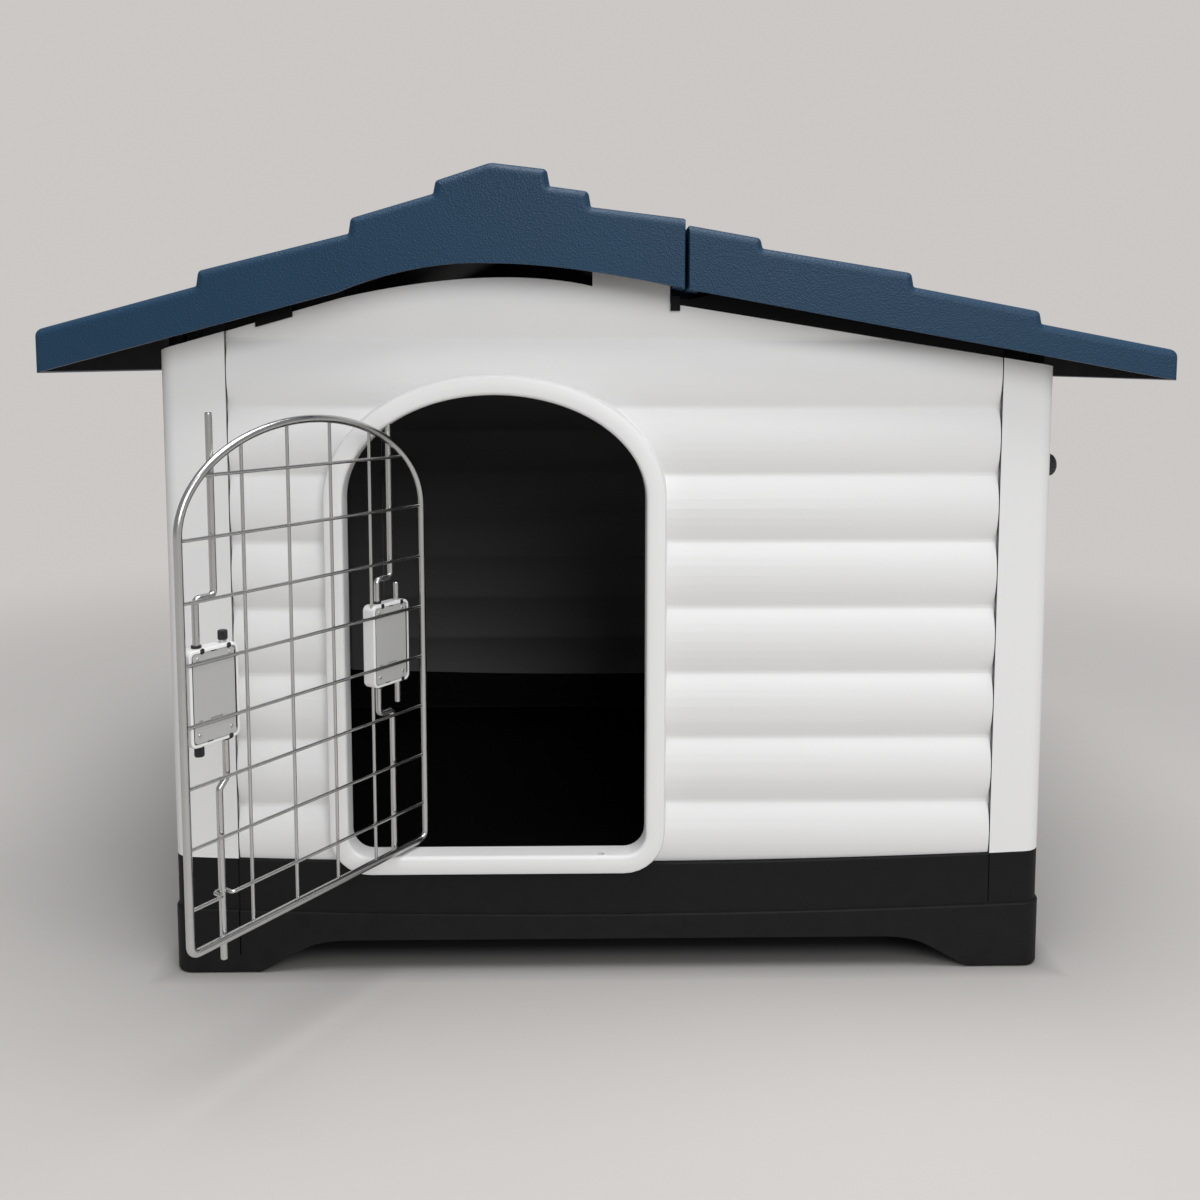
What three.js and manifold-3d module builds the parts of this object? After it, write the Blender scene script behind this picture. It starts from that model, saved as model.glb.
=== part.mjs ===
// A moulded plastic dog house: a footed base tray, four log-pattern walls, a gable roof laid in
// courses, a gull-wing hatch (right roof panel and right wall) and a wire door on sprung bolts.
// Millimetres, +Z up, front towards -Y. The walls are drawn from the front face of the front wall,
// and the finished group is moved so that its origin is the centre of the footprint on the floor.
import * as THREE from "three";
import { mergeVertices } from "three/addons/utils/BufferGeometryUtils.js";
import Module from "manifold-3d";

const wasm = await Module();
wasm.setup();

// ---- Driving sizes ----------------------------------------------------------------------------
const GAP = 0.3; // between pieces that touch
const HINGE_GAP = 2; // between the two roof panels
const LAP = 1; // how far shapes that are joined run into each other
const PAST = 50; // how far a cut runs past what it goes through

const BODY_WIDTH = 736;
const BODY_DEPTH = 600;
const WALL = 5; // moulded sheet

const PLINTH_PROUD = 2;
const PLINTH_HEIGHT = 57;
const RIM_HEIGHT = 102; // at the corners
const RIM_DIP = 9; // the rim's top edge sags this much at mid-span
const BASE_WALL = 6;
const FLOOR_HEIGHT = 46;
const FLOOR_THICKNESS = 4;
const FOOT_LENGTH = 68;
const FOOT_ARCH_RUN = 82;
const FOOT_ARCH_HEIGHT = 28;
const CORNER_RADIUS = 14;

const LOG_PITCH = 55.8;
const TOP_GROOVE = 535.5;
const LOG_RELIEF = 6;
const LOG_SEGMENTS = 6;

const CORNER_STRIP_LEFT = 55;
const CORNER_STRIP_RIGHT = 45;
const SIDE_STRIP = 50; // flat strip on the side walls, beside each corner
const TONGUE = 22; // front and back walls reach this far behind the corner strips
const WALL_TOP_LEFT = 526;
const WALL_TOP_RIGHT = 513;
const WALL_TOP_CENTRE_LEFT = 569;
const WALL_TOP_CENTRE_RIGHT = 564;

const RIDGE_X = -94.5;
const VENT_HALF = 121; // from the ridge to the left end of the vent arch
const VENT_RIGHT_END = 80; // from the ridge to its right end
const VENT_RISE = 18;
const GABLE_PEAK = 592; // top of the wall beside the vent

const ROOF_WIDTH = 905;
const ROOF_SKIN = 5;
const ROOF_OVERHANG = 30;
const RIDGE_HEIGHT = 672;
const EAVE_HEIGHT = 508; // lower edge of the roof's faces at the left end
const EAVE_HEIGHT_RIGHT = 502;
const EAVE_TOP_LEFT = 542;
const EAVE_TOP_RIGHT = 526;
const SEAM_X = 59.5;
const SEAM_TOP_LEFT = 629;
const SEAM_TOP_RIGHT = 624;
const SEAM_RIB = 10; // stiffening rib on each side of the seam
const FASCIA_LOW_VENT = 571; // above the vent's left end
const FASCIA_SHOULDER = 596; // pull of the arch between there and the ridge
const FASCIA_LOW_ARCH = 594;
const FASCIA_LOW_SEAM = 574;
// Roof courses, as shares of a slope's run and of its height, from the eave to the ridge on the left
// and from the ridge to the seam and on to the eave on the right.
const COURSE_STEP = 2; // run of the step itself
const LEFT_SHARES = [
  { run: 0.353, before: 0.262, after: 0.354 },
  { run: 0.688, before: 0.577, after: 0.669 },
  { run: 0.874, before: 0.815, after: 0.892 },
];
const RIGHT_SHARES = [
  { run: 0.286, before: 0.116, after: 0.419 },
  { run: 0.497, before: 0.512, after: 0.791 },
];
const FLAP_SHARES = [
  { run: 0.148, before: 0.102, after: 0.184 },
  { run: 0.454, before: 0.378, after: 0.49 },
  { run: 0.716, before: 0.684, after: 0.786 },
];

const DOOR_OPENING_WIDTH = 248;
const DOORWAY_SILL = 104;
const DOORWAY_SPRING = 404;
const DOORWAY_RISE = 86;
const DOORWAY_CORNER = 18;
const SURROUND_WIDTH = 16;
const SURROUND_PROUD = 10;

const DOOR_CLEARANCE = 2.5; // between the door's frame and the doorway
const DOOR_TOP_CLEARANCE = 12.5;
const DOOR_OPEN_ANGLE = 124.5; // degrees from closed, as it stands
const DOOR_FRAME_RADIUS = 3;
const DOOR_WIRE_RADIUS = 1.3;
const UPRIGHT_PITCH = 41.6;
const MESH_BARS = 8;
const MESH_UPRIGHTS = 4;
const LOWEST_BAR_RISE = 31.5; // above the frame's lower wire
const HIGHEST_BAR_DROP = 34.6; // below the frame's crown
const FRAME_CORNER = 7;
const FRAME_WELD = 2; // plug that closes the frame's loop
const GUIDE_BEND = 2.4; // of the lowest bar's loop round a bolt

const BOLT_RADIUS = 2.5;
const BOLT_SPACING = 173.4; // between the two bolt axes
const BOLT_PROUD = 4.6; // bolt axes in front of the wall's face, inside the surround
const BOLT_BELOW_CROWN = 7.5; // upper ends, under the doorway's crown
const BOLT_BELOW_SILL = 12.5; // lower ends
const BOLT_BEND = 4;
const CRANK_LEAN = 3.5; // of a short crank, up and down from its middle
const BOLT_CLEARANCE = 0.4;
const POCKET_DEPTH = 1; // room left past a bolt's end
const COLLAR_RADIUS = 3.4;
const COLLAR_THICKNESS = 1.6;

const CASE_WIDTH = 41;
const CASE_HEIGHT = 68;
const CASE_DROP = 3.3; // of its middle, under the middle of the mesh
const CASE_SHIFT = 6; // of its middle from the bolt axis, towards the free edge
const CASE_WALL = 2.2;
const CASE_FRONT = 6.6; // from the bolt plane to the outer face
const CASE_BACK = 6.6; // from the bolt plane to the rim that takes the plate
const CASE_CORNER = 5;
const CASE_SHELF = 2; // wall between two turned bolts' springs
const CHANNEL_SHIFT = 4.5; // of the middle of the two leg channels from the bolt axis
const CHANNEL_OFFSET = 11; // from there to each channel
const PLATE_THICKNESS = 3.3;
const PLATE_SUNK = 0.4; // below the case's rim
const SPRING_RADIUS = 3.1;
const SPRING_WIRE = 0.3;
const BUSHING_RADIUS = 3.6;
const BUSHING_HEIGHT = 1.6;
const CAP_RADIUS = 3.4;
const CAP_LENGTH = 7;
const CAP_SOCKET = 5;

const KNOB_RADIUS = 10;
const KNOB_HEIGHT = 14;
const KNOB_Z = 430;
const KNOB_INSET = 24; // from the front or back face of the body
const KNOB_SHAFT = 4;
const CAM_WIDTH = 8;
const CAM_THICKNESS = 5;
const CAM_REACH = 11;
const KEEPER_HEIGHT = 40;
const KEEPER_THICKNESS = 3;
const KEEPER_LENGTH = 7;

const HINGE_PIN_RADIUS = 1.8;
const KNUCKLE_RADIUS = 4.6;
const KNUCKLE_LENGTH = 24;
const HINGE_SETBACK = 110; // from the roof's front and back edges

const CLIP_WIDTH = 30;
const CLIP_X = -272;
const CLIP_DROP = 8;
const CLIP_THICKNESS = 2.5;
const RAIL_THICKNESS = 6;
const RAIL_INSET = 2.5;
const HOOK_WIDTH = 8;
const HOOK_DROP = 6;

// ---- Derived places ----------------------------------------------------------------------------
const HALF = BODY_WIDTH / 2;
const SEAM_LEFT = -HALF + CORNER_STRIP_LEFT;
const SEAM_RIGHT = HALF - CORNER_STRIP_RIGHT;
const SHEET_BACK = LOG_RELIEF + WALL; // deepest face of the log pattern
const ROOF_HALF = ROOF_WIDTH / 2;
const ROOF_FRONT = -ROOF_OVERHANG;
const ROOF_BACK = BODY_DEPTH + ROOF_OVERHANG;
const SKY = RIDGE_HEIGHT + 100; // above everything
const CEILING_CORNER = ROOF_HALF - ROOF_SKIN;
const GABLE_STEP = SEAM_X - SEAM_RIB - LAP; // right of this the wall top drops to carry the flap's rail
const VENT_LEFT = RIDGE_X - VENT_HALF;
const VENT_RIGHT = RIDGE_X + VENT_RIGHT_END;
const FRAME_HALF_WIDTH = DOOR_OPENING_WIDTH / 2 - DOOR_CLEARANCE - DOOR_FRAME_RADIUS;
const FRAME_BOTTOM = DOORWAY_SILL + DOOR_CLEARANCE + DOOR_FRAME_RADIUS;
const FRAME_SPRING = DOORWAY_SPRING - DOOR_CLEARANCE - DOOR_FRAME_RADIUS;
const FRAME_RISE = DOORWAY_SPRING + DOORWAY_RISE - DOOR_TOP_CLEARANCE - DOOR_FRAME_RADIUS - FRAME_SPRING;
const FRAME_PLANE = BOLT_RADIUS + DOOR_FRAME_RADIUS + GAP;
const UPRIGHT_PLANE = FRAME_PLANE - 2 * DOOR_WIRE_RADIUS - GAP;
const LOWEST_BAR = FRAME_BOTTOM + LOWEST_BAR_RISE;
const HIGHEST_BAR = FRAME_SPRING + FRAME_RISE - HIGHEST_BAR_DROP;
const BAR_PITCH = (HIGHEST_BAR - LOWEST_BAR) / (MESH_BARS - 1);
const BOLT_TOP = DOORWAY_SPRING + DOORWAY_RISE - BOLT_BELOW_CROWN;
const BOLT_BOTTOM = DOORWAY_SILL - BOLT_BELOW_SILL;
const CASE_MID = (LOWEST_BAR + HIGHEST_BAR) / 2 - CASE_DROP;
const CASE_TOP = CASE_MID + CASE_HEIGHT / 2;
const CASE_BOTTOM = CASE_MID - CASE_HEIGHT / 2;
const PLATE_FACE = CASE_BACK - PLATE_SUNK;
const HATCH_AXIS_Z = SEAM_TOP_LEFT - 1;

// ---- Materials ---------------------------------------------------------------------------------
const finish = (color, roughness, metalness = 0) =>
  new THREE.MeshStandardMaterial({ color, roughness, metalness });
const WHITE_PLASTIC = finish(0xe9e9e8, 0.45);
const BLACK_PLASTIC = finish(0x1d1e20, 0.6);
const BLUE_PLASTIC = finish(0x1f4a6e, 0.65);
const GALVANISED = finish(0xa9acae, 0.35, 0.9);
const GREY_PLATE = finish(0xb5b7b8, 0.5);
const SPRING_STEEL = finish(0x8c8f92, 0.3, 1);

// ---- Geometry helpers --------------------------------------------------------------------------
// A closed geometry as a solid that can be joined and cut.
function solid(geometry) {
  const bare = geometry.index ? geometry.toNonIndexed() : geometry.clone();
  bare.deleteAttribute("normal");
  bare.deleteAttribute("uv");
  const merged = mergeVertices(bare, 1e-4);
  return new wasm.Manifold(
    new wasm.Mesh({
      numProp: 3,
      vertProperties: merged.attributes.position.array,
      triVerts: new Uint32Array(merged.index.array),
    }),
  );
}

function mesh(name, body, material) {
  const made = body.getMesh();
  const geometry = new THREE.BufferGeometry()
    .setAttribute("position", new THREE.BufferAttribute(new Float32Array(made.vertProperties), 3))
    .setIndex(new THREE.BufferAttribute(new Uint32Array(made.triVerts), 1));
  const shaded = geometry.toNonIndexed();
  shaded.computeVertexNormals();
  const piece = new THREE.Mesh(shaded, material);
  piece.name = name;
  return piece;
}

const polygon = (points) => new THREE.Shape(points.map(([x, y]) => new THREE.Vector2(x, y)));

const extruded = (shape, depth, curveSegments) =>
  new THREE.ExtrudeGeometry(shape, { depth, bevelEnabled: false, curveSegments });

// An outline in X and Z, from y0 to y1.
const alongY = (shape, y0, y1, curveSegments = 6) =>
  solid(extruded(shape, y1 - y0, curveSegments).rotateX(Math.PI / 2).translate(0, y1, 0));

// An outline in Y and Z, from x0 to x1.
const alongX = (shape, x0, x1, curveSegments = 6) =>
  solid(extruded(shape, x1 - x0, curveSegments).rotateX(Math.PI / 2).rotateZ(Math.PI / 2).translate(x0, 0, 0));

const alongZ = (shape, z0, z1, curveSegments = 6) =>
  solid(extruded(shape, z1 - z0, curveSegments).translate(0, 0, z0));

function block([x0, x1], [y0, y1], [z0, z1]) {
  const box = new THREE.BoxGeometry(x1 - x0, y1 - y0, z1 - z0);
  return solid(box.translate((x0 + x1) / 2, (y0 + y1) / 2, (z0 + z1) / 2));
}

// A round bar standing on (x, y), from z0 to z1.
function post(radius, x, y, z0, z1, sides = 12) {
  const bar = new THREE.CylinderGeometry(radius, radius, z1 - z0, sides);
  return solid(bar.rotateX(Math.PI / 2).translate(x, y, (z0 + z1) / 2));
}

function roundedRectangle(x0, x1, y0, y1, radius) {
  const shape = new THREE.Shape();
  shape.moveTo(x0 + radius, y0);
  shape.lineTo(x1 - radius, y0);
  shape.absarc(x1 - radius, y0 + radius, radius, -Math.PI / 2, 0);
  shape.absarc(x1 - radius, y1 - radius, radius, 0, Math.PI / 2);
  shape.absarc(x0 + radius, y1 - radius, radius, Math.PI / 2, Math.PI);
  shape.absarc(x0 + radius, y0 + radius, radius, Math.PI, 1.5 * Math.PI);
  return shape;
}

// A doorway outline: square-based with rounded lower corners and an elliptical head.
function doorOutline({ centre, halfWidth, bottom, spring, rise, corner }) {
  const shape = new THREE.Shape();
  shape.moveTo(centre, bottom);
  shape.lineTo(centre + halfWidth - corner, bottom);
  shape.absarc(centre + halfWidth - corner, bottom + corner, corner, -Math.PI / 2, 0);
  shape.absellipse(centre, spring, halfWidth, rise, 0, Math.PI);
  shape.absarc(centre - halfWidth + corner, bottom + corner, corner, Math.PI, 1.5 * Math.PI);
  return shape;
}

// A path through chosen stations, so that straight runs take one step and bends take several.
class StationPath extends THREE.Curve {
  constructor(stations) {
    super();
    this.stations = stations;
  }
  getPoint(t) {
    const last = this.stations.length - 1;
    const index = Math.min(Math.floor(t * last + 1e-9), last - 1);
    return this.stations[index].clone().lerp(this.stations[index + 1], t * last - index);
  }
  getPointAt(u) {
    return this.getPoint(u);
  }
  getTangent(t) {
    const last = this.stations.length - 1;
    const index = Math.round(t * last);
    const tangent = new THREE.Vector3();
    for (const start of [index - 1, index]) {
      if (start < 0 || start >= last) continue;
      tangent.add(this.stations[start + 1].clone().sub(this.stations[start]).normalize());
    }
    return tangent.normalize();
  }
  getTangentAt(u) {
    return this.getTangent(u);
  }
}

// The stations of a bent wire: its corners, each rounded by a curve.
function bentStations(corners, bend, steps = 4) {
  const stations = [corners[0]];
  for (let i = 1; i < corners.length - 1; i++) {
    const before = corners[i].clone().add(corners[i - 1].clone().sub(corners[i]).setLength(bend));
    const after = corners[i].clone().add(corners[i + 1].clone().sub(corners[i]).setLength(bend));
    stations.push(...new THREE.QuadraticBezierCurve3(before, corners[i], after).getPoints(steps));
  }
  stations.push(corners[corners.length - 1]);
  return stations;
}

function wire(stations, radius, halfSides = 4) {
  const section = new THREE.Shape().absarc(0, 0, radius, 0, 2 * Math.PI);
  return solid(
    new THREE.ExtrudeGeometry(section, {
      steps: stations.length - 1,
      curveSegments: halfSides,
      bevelEnabled: false,
      extrudePath: new StationPath(stations),
    }),
  );
}

// A ring or tube about a vertical axis.
function tube(inner, outer, z0, z1, x, y, sides = 12) {
  const profile = [
    new THREE.Vector2(inner, z0),
    new THREE.Vector2(outer, z0),
    new THREE.Vector2(outer, z1),
    new THREE.Vector2(inner, z1),
    new THREE.Vector2(inner, z0),
  ];
  return solid(new THREE.LatheGeometry(profile, sides).rotateX(Math.PI / 2).translate(x, y, 0));
}

// ---- Outlines shared by several pieces ---------------------------------------------------------
// Height of the base's rim across the front: an arc that dips at mid-span.
const rimHeight = (x) => RIM_HEIGHT - RIM_DIP * (1 - (x / HALF) ** 2);

function rimOutline(halfWidth, bottom, lift) {
  const steps = 12;
  const points = [[-halfWidth, bottom], [halfWidth, bottom]];
  for (let i = 0; i <= steps; i++) {
    const x = halfWidth * (1 - (2 * i) / steps);
    points.push([x, Math.min(rimHeight(x), RIM_HEIGHT) + lift]);
  }
  return polygon(points);
}

// The steps between the courses of a slope: the place of each, and its heights left and right of it.
const courseSteps = (shares, [x0, z0], [x1, z1]) =>
  shares.map(({ run, before, after }) => ({
    x: x0 + (x1 - x0) * run,
    left: z0 + (z1 - z0) * before,
    right: z0 + (z1 - z0) * after,
  }));

const leftEave = [-ROOF_HALF, EAVE_TOP_LEFT];
const ridge = [RIDGE_X, RIDGE_HEIGHT];
const rightEave = [ROOF_HALF, EAVE_TOP_RIGHT];
const leftSteps = courseSteps(LEFT_SHARES, leftEave, ridge);
const rightSteps = courseSteps(RIGHT_SHARES, ridge, [SEAM_X, SEAM_TOP_LEFT]);
const flapSteps = courseSteps(FLAP_SHARES, [SEAM_X, SEAM_TOP_RIGHT], rightEave);

const stepped = (steps) => steps.flatMap(({ x, left, right }) => [[x, left], [x + COURSE_STEP, right]]);

// The roof's upper surface, left to right.
const roofTop = () => [
  leftEave,
  ...stepped(leftSteps),
  ridge,
  ...stepped(rightSteps),
  [SEAM_X - HINGE_GAP / 2, SEAM_TOP_LEFT],
];

const flapTop = () => [[SEAM_X + HINGE_GAP / 2, SEAM_TOP_RIGHT], ...stepped(flapSteps), rightEave];

// The underside of the roof's skin. drop lowers it, for what has to stay clear of it.
function ceiling(drop = 0) {
  const below = (x, z) => [x, z - ROOF_SKIN - drop];
  const belowStep = ({ x, left, right }) => below(x, Math.min(left, right));
  return [
    below(-CEILING_CORNER - drop, EAVE_TOP_LEFT),
    ...leftSteps.map(belowStep),
    below(RIDGE_X, RIDGE_HEIGHT - ROOF_SKIN / 2),
    ...rightSteps.map(belowStep),
    below(SEAM_X, SEAM_TOP_RIGHT),
    ...flapSteps.map(belowStep),
    below(CEILING_CORNER + drop, EAVE_TOP_RIGHT),
  ];
}

// What the walls and rails are cut back to, under the roof.
const underRoof = (drop) => {
  const points = ceiling(drop);
  return polygon([...points, [points.at(-1)[0], SKY], [points[0][0], SKY]]);
};

const RIB_FOOT = FASCIA_LOW_SEAM - SEAM_RIB / 2;

// The space that the roof takes, with its ribs at the seam, which walls and rails are cut back to.
function roofSpace() {
  const length = [-2 * ROOF_OVERHANG, BODY_DEPTH + 2 * ROOF_OVERHANG];
  const ribs = block(
    [SEAM_X - SEAM_RIB - GAP, SEAM_X + SEAM_RIB + GAP],
    length,
    [RIB_FOOT - GAP, SKY],
  );
  return alongY(underRoof(GAP), ...length).add(ribs);
}

// The top edge of the front and back walls, with the vent arch under the ridge.
function wallTopOutline() {
  const shape = new THREE.Shape();
  shape.moveTo(-HALF, 0);
  shape.lineTo(HALF, 0);
  shape.lineTo(HALF, WALL_TOP_RIGHT);
  shape.lineTo(GABLE_STEP, WALL_TOP_CENTRE_RIGHT);
  shape.lineTo(GABLE_STEP, GABLE_PEAK - HOOK_DROP);
  shape.lineTo(VENT_RIGHT, GABLE_PEAK);
  shape.lineTo(VENT_RIGHT, WALL_TOP_CENTRE_LEFT + VENT_RISE / 2);
  shape.quadraticCurveTo(RIDGE_X, WALL_TOP_CENTRE_LEFT + 1.5 * VENT_RISE, VENT_LEFT, WALL_TOP_CENTRE_LEFT);
  shape.lineTo(-HALF, WALL_TOP_LEFT);
  return shape;
}

// Everything under that edge, raised by lift.
const underWallTop = (lift = 0) =>
  alongY(wallTopOutline(), -PAST, BODY_DEPTH + PAST, 10).translate([0, 0, lift]);

// The arched lower edge of the roof's front and back faces.
function fasciaOutline() {
  const shape = new THREE.Shape();
  shape.moveTo(-ROOF_HALF, SKY);
  shape.lineTo(-ROOF_HALF, EAVE_HEIGHT);
  shape.lineTo(VENT_LEFT, FASCIA_LOW_VENT);
  shape.quadraticCurveTo(RIDGE_X - VENT_HALF / 2, FASCIA_SHOULDER, RIDGE_X, FASCIA_LOW_ARCH);
  shape.quadraticCurveTo(RIDGE_X + VENT_HALF / 2, FASCIA_LOW_ARCH, SEAM_X, FASCIA_LOW_SEAM);
  shape.lineTo(ROOF_HALF, EAVE_HEIGHT_RIGHT);
  shape.lineTo(ROOF_HALF, SKY);
  return shape;
}

// The body in plan, with rounded corners. A positive inset makes it smaller.
const bodyPlan = (inset, z0, z1) =>
  alongZ(
    roundedRectangle(-HALF + inset, HALF - inset, inset, BODY_DEPTH - inset, CORNER_RADIUS), z0, z1, 3);

// ---- Walls -------------------------------------------------------------------------------------
// Depth of the log pattern behind its crests, at height z.
function logRecess(z) {
  const log = (TOP_GROOVE - z) / LOG_PITCH;
  const across = 2 * (log - Math.floor(log)) - 1;
  return LOG_RELIEF * across * across;
}

// A sheet of the log pattern facing -Y, its crests on y = 0, from x0 to x1.
function logSheet(x0, x1, bottom, top) {
  const step = LOG_PITCH / LOG_SEGMENTS;
  const heights = [bottom];
  for (let i = Math.ceil((TOP_GROOVE - top) / step); TOP_GROOVE - i * step > bottom + 1; i++)
    heights.splice(1, 0, TOP_GROOVE - i * step);
  heights.sort((a, b) => a - b);
  heights.push(top);
  const outer = heights.map((z) => [logRecess(z), z]);
  const inner = heights.map((z) => [logRecess(z) + WALL, z]).reverse();
  return alongX(polygon([...outer, ...inner]), x0, x1);
}

// Walls are drawn from the rim's lowest point, and cut back to the rim.
const wallBottom = RIM_HEIGHT - RIM_DIP - LAP;

// The base and its rim, grown by the gap, which every wall is cut back to.
const seat = () => alongY(rimOutline(HALF + 1, 0, GAP), -GAP, BODY_DEPTH + GAP);

const trimTop = (body) =>
  body.intersect(underWallTop()).subtract(roofSpace());

// A front or back wall, as it stands at the front.
function gableWall() {
  const rib = [LOG_RELIEF - 1.5, SHEET_BACK];
  const tongue = [WALL + GAP, SHEET_BACK];
  const height = [wallBottom, RIDGE_HEIGHT];
  return logSheet(SEAM_LEFT + GAP, SEAM_RIGHT - GAP, wallBottom, RIDGE_HEIGHT - 10)
    .add(block([SEAM_LEFT + GAP, SEAM_LEFT + TONGUE], rib, height))
    .add(block([SEAM_LEFT - TONGUE, SEAM_LEFT + TONGUE], tongue, height))
    .add(block([SEAM_RIGHT - TONGUE, SEAM_RIGHT - GAP], rib, height))
    .add(block([SEAM_RIGHT - TONGUE, SEAM_RIGHT + TONGUE], tongue, height));
}

// The lug behind the right-hand tongue that a knob's cam turns in behind.
function keeper() {
  const x = SEAM_RIGHT + TONGUE;
  return block(
    [x - KEEPER_THICKNESS, x],
    [SHEET_BACK - LAP, SHEET_BACK + KEEPER_LENGTH],
    [KNOB_Z - KEEPER_HEIGHT / 2, KNOB_Z + KEEPER_HEIGHT / 2],
  );
}

const doorway = {
  centre: RIDGE_X,
  halfWidth: DOOR_OPENING_WIDTH / 2,
  bottom: DOORWAY_SILL,
  spring: DOORWAY_SPRING,
  rise: DOORWAY_RISE,
  corner: DOORWAY_CORNER,
};

const grown = (outline, by) => ({
  ...outline,
  halfWidth: outline.halfWidth + by,
  bottom: outline.bottom - by,
  rise: outline.rise + by,
  corner: outline.corner + by,
});

const boltAxes = [RIDGE_X - BOLT_SPACING / 2, RIDGE_X + BOLT_SPACING / 2];

function frontWall() {
  const surround = alongY(doorOutline(grown(doorway, SURROUND_WIDTH)), -SURROUND_PROUD, SHEET_BACK, 8);
  let wall = gableWall().add(keeper()).add(surround);
  wall = wall.subtract(alongY(doorOutline(doorway), -PAST, PAST, 8));
  for (const x of boltAxes) {
    const hole = BOLT_RADIUS + BOLT_CLEARANCE;
    wall = wall.subtract(post(hole, x, -BOLT_PROUD, BOLT_BOTTOM - POCKET_DEPTH, DOORWAY_SILL + PAST));
    wall = wall.subtract(post(hole, x, -BOLT_PROUD, DOORWAY_SPRING, BOLT_TOP + POCKET_DEPTH));
  }
  return trimTop(wall).subtract(seat());
}

function backWall() {
  const wall = trimTop(gableWall().add(keeper())).scale([1, -1, 1]).translate([0, BODY_DEPTH, 0]);
  return wall.subtract(seat());
}

// A side wall with its corner strips, as the left one stands.
function sideWall(strip) {
  const log = logSheet(-BODY_DEPTH + SIDE_STRIP, -SIDE_STRIP, wallBottom, RIDGE_HEIGHT)
    .rotate([0, 0, -90])
    .translate([-HALF, 0, 0]);
  const height = [wallBottom, RIDGE_HEIGHT];
  let wall = log;
  for (const [near, far, side] of [[0, 1, 1], [BODY_DEPTH, BODY_DEPTH - 1, -1]]) {
    const reach = (distance) => [near, near + (far - near) * distance].sort((a, b) => a - b);
    wall = wall
      .add(block([-HALF, -HALF + WALL], reach(SIDE_STRIP + LAP), height))
      .add(block([-HALF + WALL - LAP, -HALF + SHEET_BACK],
        [near + side * SIDE_STRIP - TONGUE / 2, near + side * SIDE_STRIP + TONGUE / 2], height));
    const corner = block([-HALF, -HALF + strip], reach(WALL), [wallBottom, RIDGE_HEIGHT]);
    wall = wall.add(corner.intersect(underWallTop()));
  }
  // The sheet behind the overhang runs up to the roof. Beside the corners it stops with the strips.
  const above = [EAVE_HEIGHT - PAST, SKY];
  const ends = block([-HALF - LAP, 0], [-LAP, ROOF_OVERHANG], above)
    .add(block([-HALF - LAP, 0], [BODY_DEPTH - ROOF_OVERHANG, BODY_DEPTH + LAP], above))
    .subtract(underWallTop());
  return wall.subtract(ends).intersect(bodyPlan(0, 0, SKY));
}

const leftWall = () =>
  sideWall(CORNER_STRIP_LEFT).subtract(roofSpace()).subtract(seat());

function rightWall() {
  let wall = sideWall(CORNER_STRIP_RIGHT).scale([-1, 1, 1]);
  for (const y of [[-LAP, ROOF_OVERHANG], [BODY_DEPTH - ROOF_OVERHANG, BODY_DEPTH + LAP]])
    wall = wall.subtract(block([0, HALF + LAP], y, [WALL_TOP_RIGHT, SKY]));
  for (const y of [KNOB_INSET, BODY_DEPTH - KNOB_INSET]) {
    const bore = new THREE.CylinderGeometry(KNOB_SHAFT + GAP, KNOB_SHAFT + GAP, PAST, 16);
    wall = wall.subtract(solid(bore.rotateZ(Math.PI / 2).translate(HALF, y, KNOB_Z)));
  }
  return wall.subtract(roofSpace()).subtract(seat());
}

// ---- Base --------------------------------------------------------------------------------------
// The gap between two feet along one side of the given length, as an outline to cut away.
function footArch(length) {
  const half = length / 2 - FOOT_LENGTH;
  const shape = new THREE.Shape();
  shape.moveTo(-half, -1);
  shape.lineTo(half, -1);
  shape.bezierCurveTo(
    half - FOOT_ARCH_RUN / 2, FOOT_ARCH_HEIGHT * 0.7,
    half - FOOT_ARCH_RUN / 2, FOOT_ARCH_HEIGHT, half - FOOT_ARCH_RUN, FOOT_ARCH_HEIGHT);
  shape.lineTo(-half + FOOT_ARCH_RUN, FOOT_ARCH_HEIGHT);
  shape.bezierCurveTo(
    -half + FOOT_ARCH_RUN / 2, FOOT_ARCH_HEIGHT,
    -half + FOOT_ARCH_RUN / 2, FOOT_ARCH_HEIGHT * 0.7, -half, -1);
  return shape;
}

function baseTray() {
  const plinthHalf = HALF + PLINTH_PROUD;
  const y = [-PLINTH_PROUD, BODY_DEPTH + PLINTH_PROUD];
  const band = bodyPlan(0, 0, RIM_HEIGHT).intersect(alongY(rimOutline(plinthHalf, 0, 0), ...y));
  let tray = bodyPlan(-PLINTH_PROUD, 0, PLINTH_HEIGHT).add(band);
  tray = tray.subtract(bodyPlan(BASE_WALL, FLOOR_HEIGHT, SKY));
  tray = tray.subtract(bodyPlan(BASE_WALL, -1, FLOOR_HEIGHT - FLOOR_THICKNESS));
  tray = tray.subtract(alongY(footArch(2 * plinthHalf), y[0] - 1, y[1] + 1, 4));
  const side = alongX(footArch(y[1] - y[0]), -plinthHalf - 1, plinthHalf + 1, 4);
  return tray.subtract(side.translate([0, BODY_DEPTH / 2, 0]));
}

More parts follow.
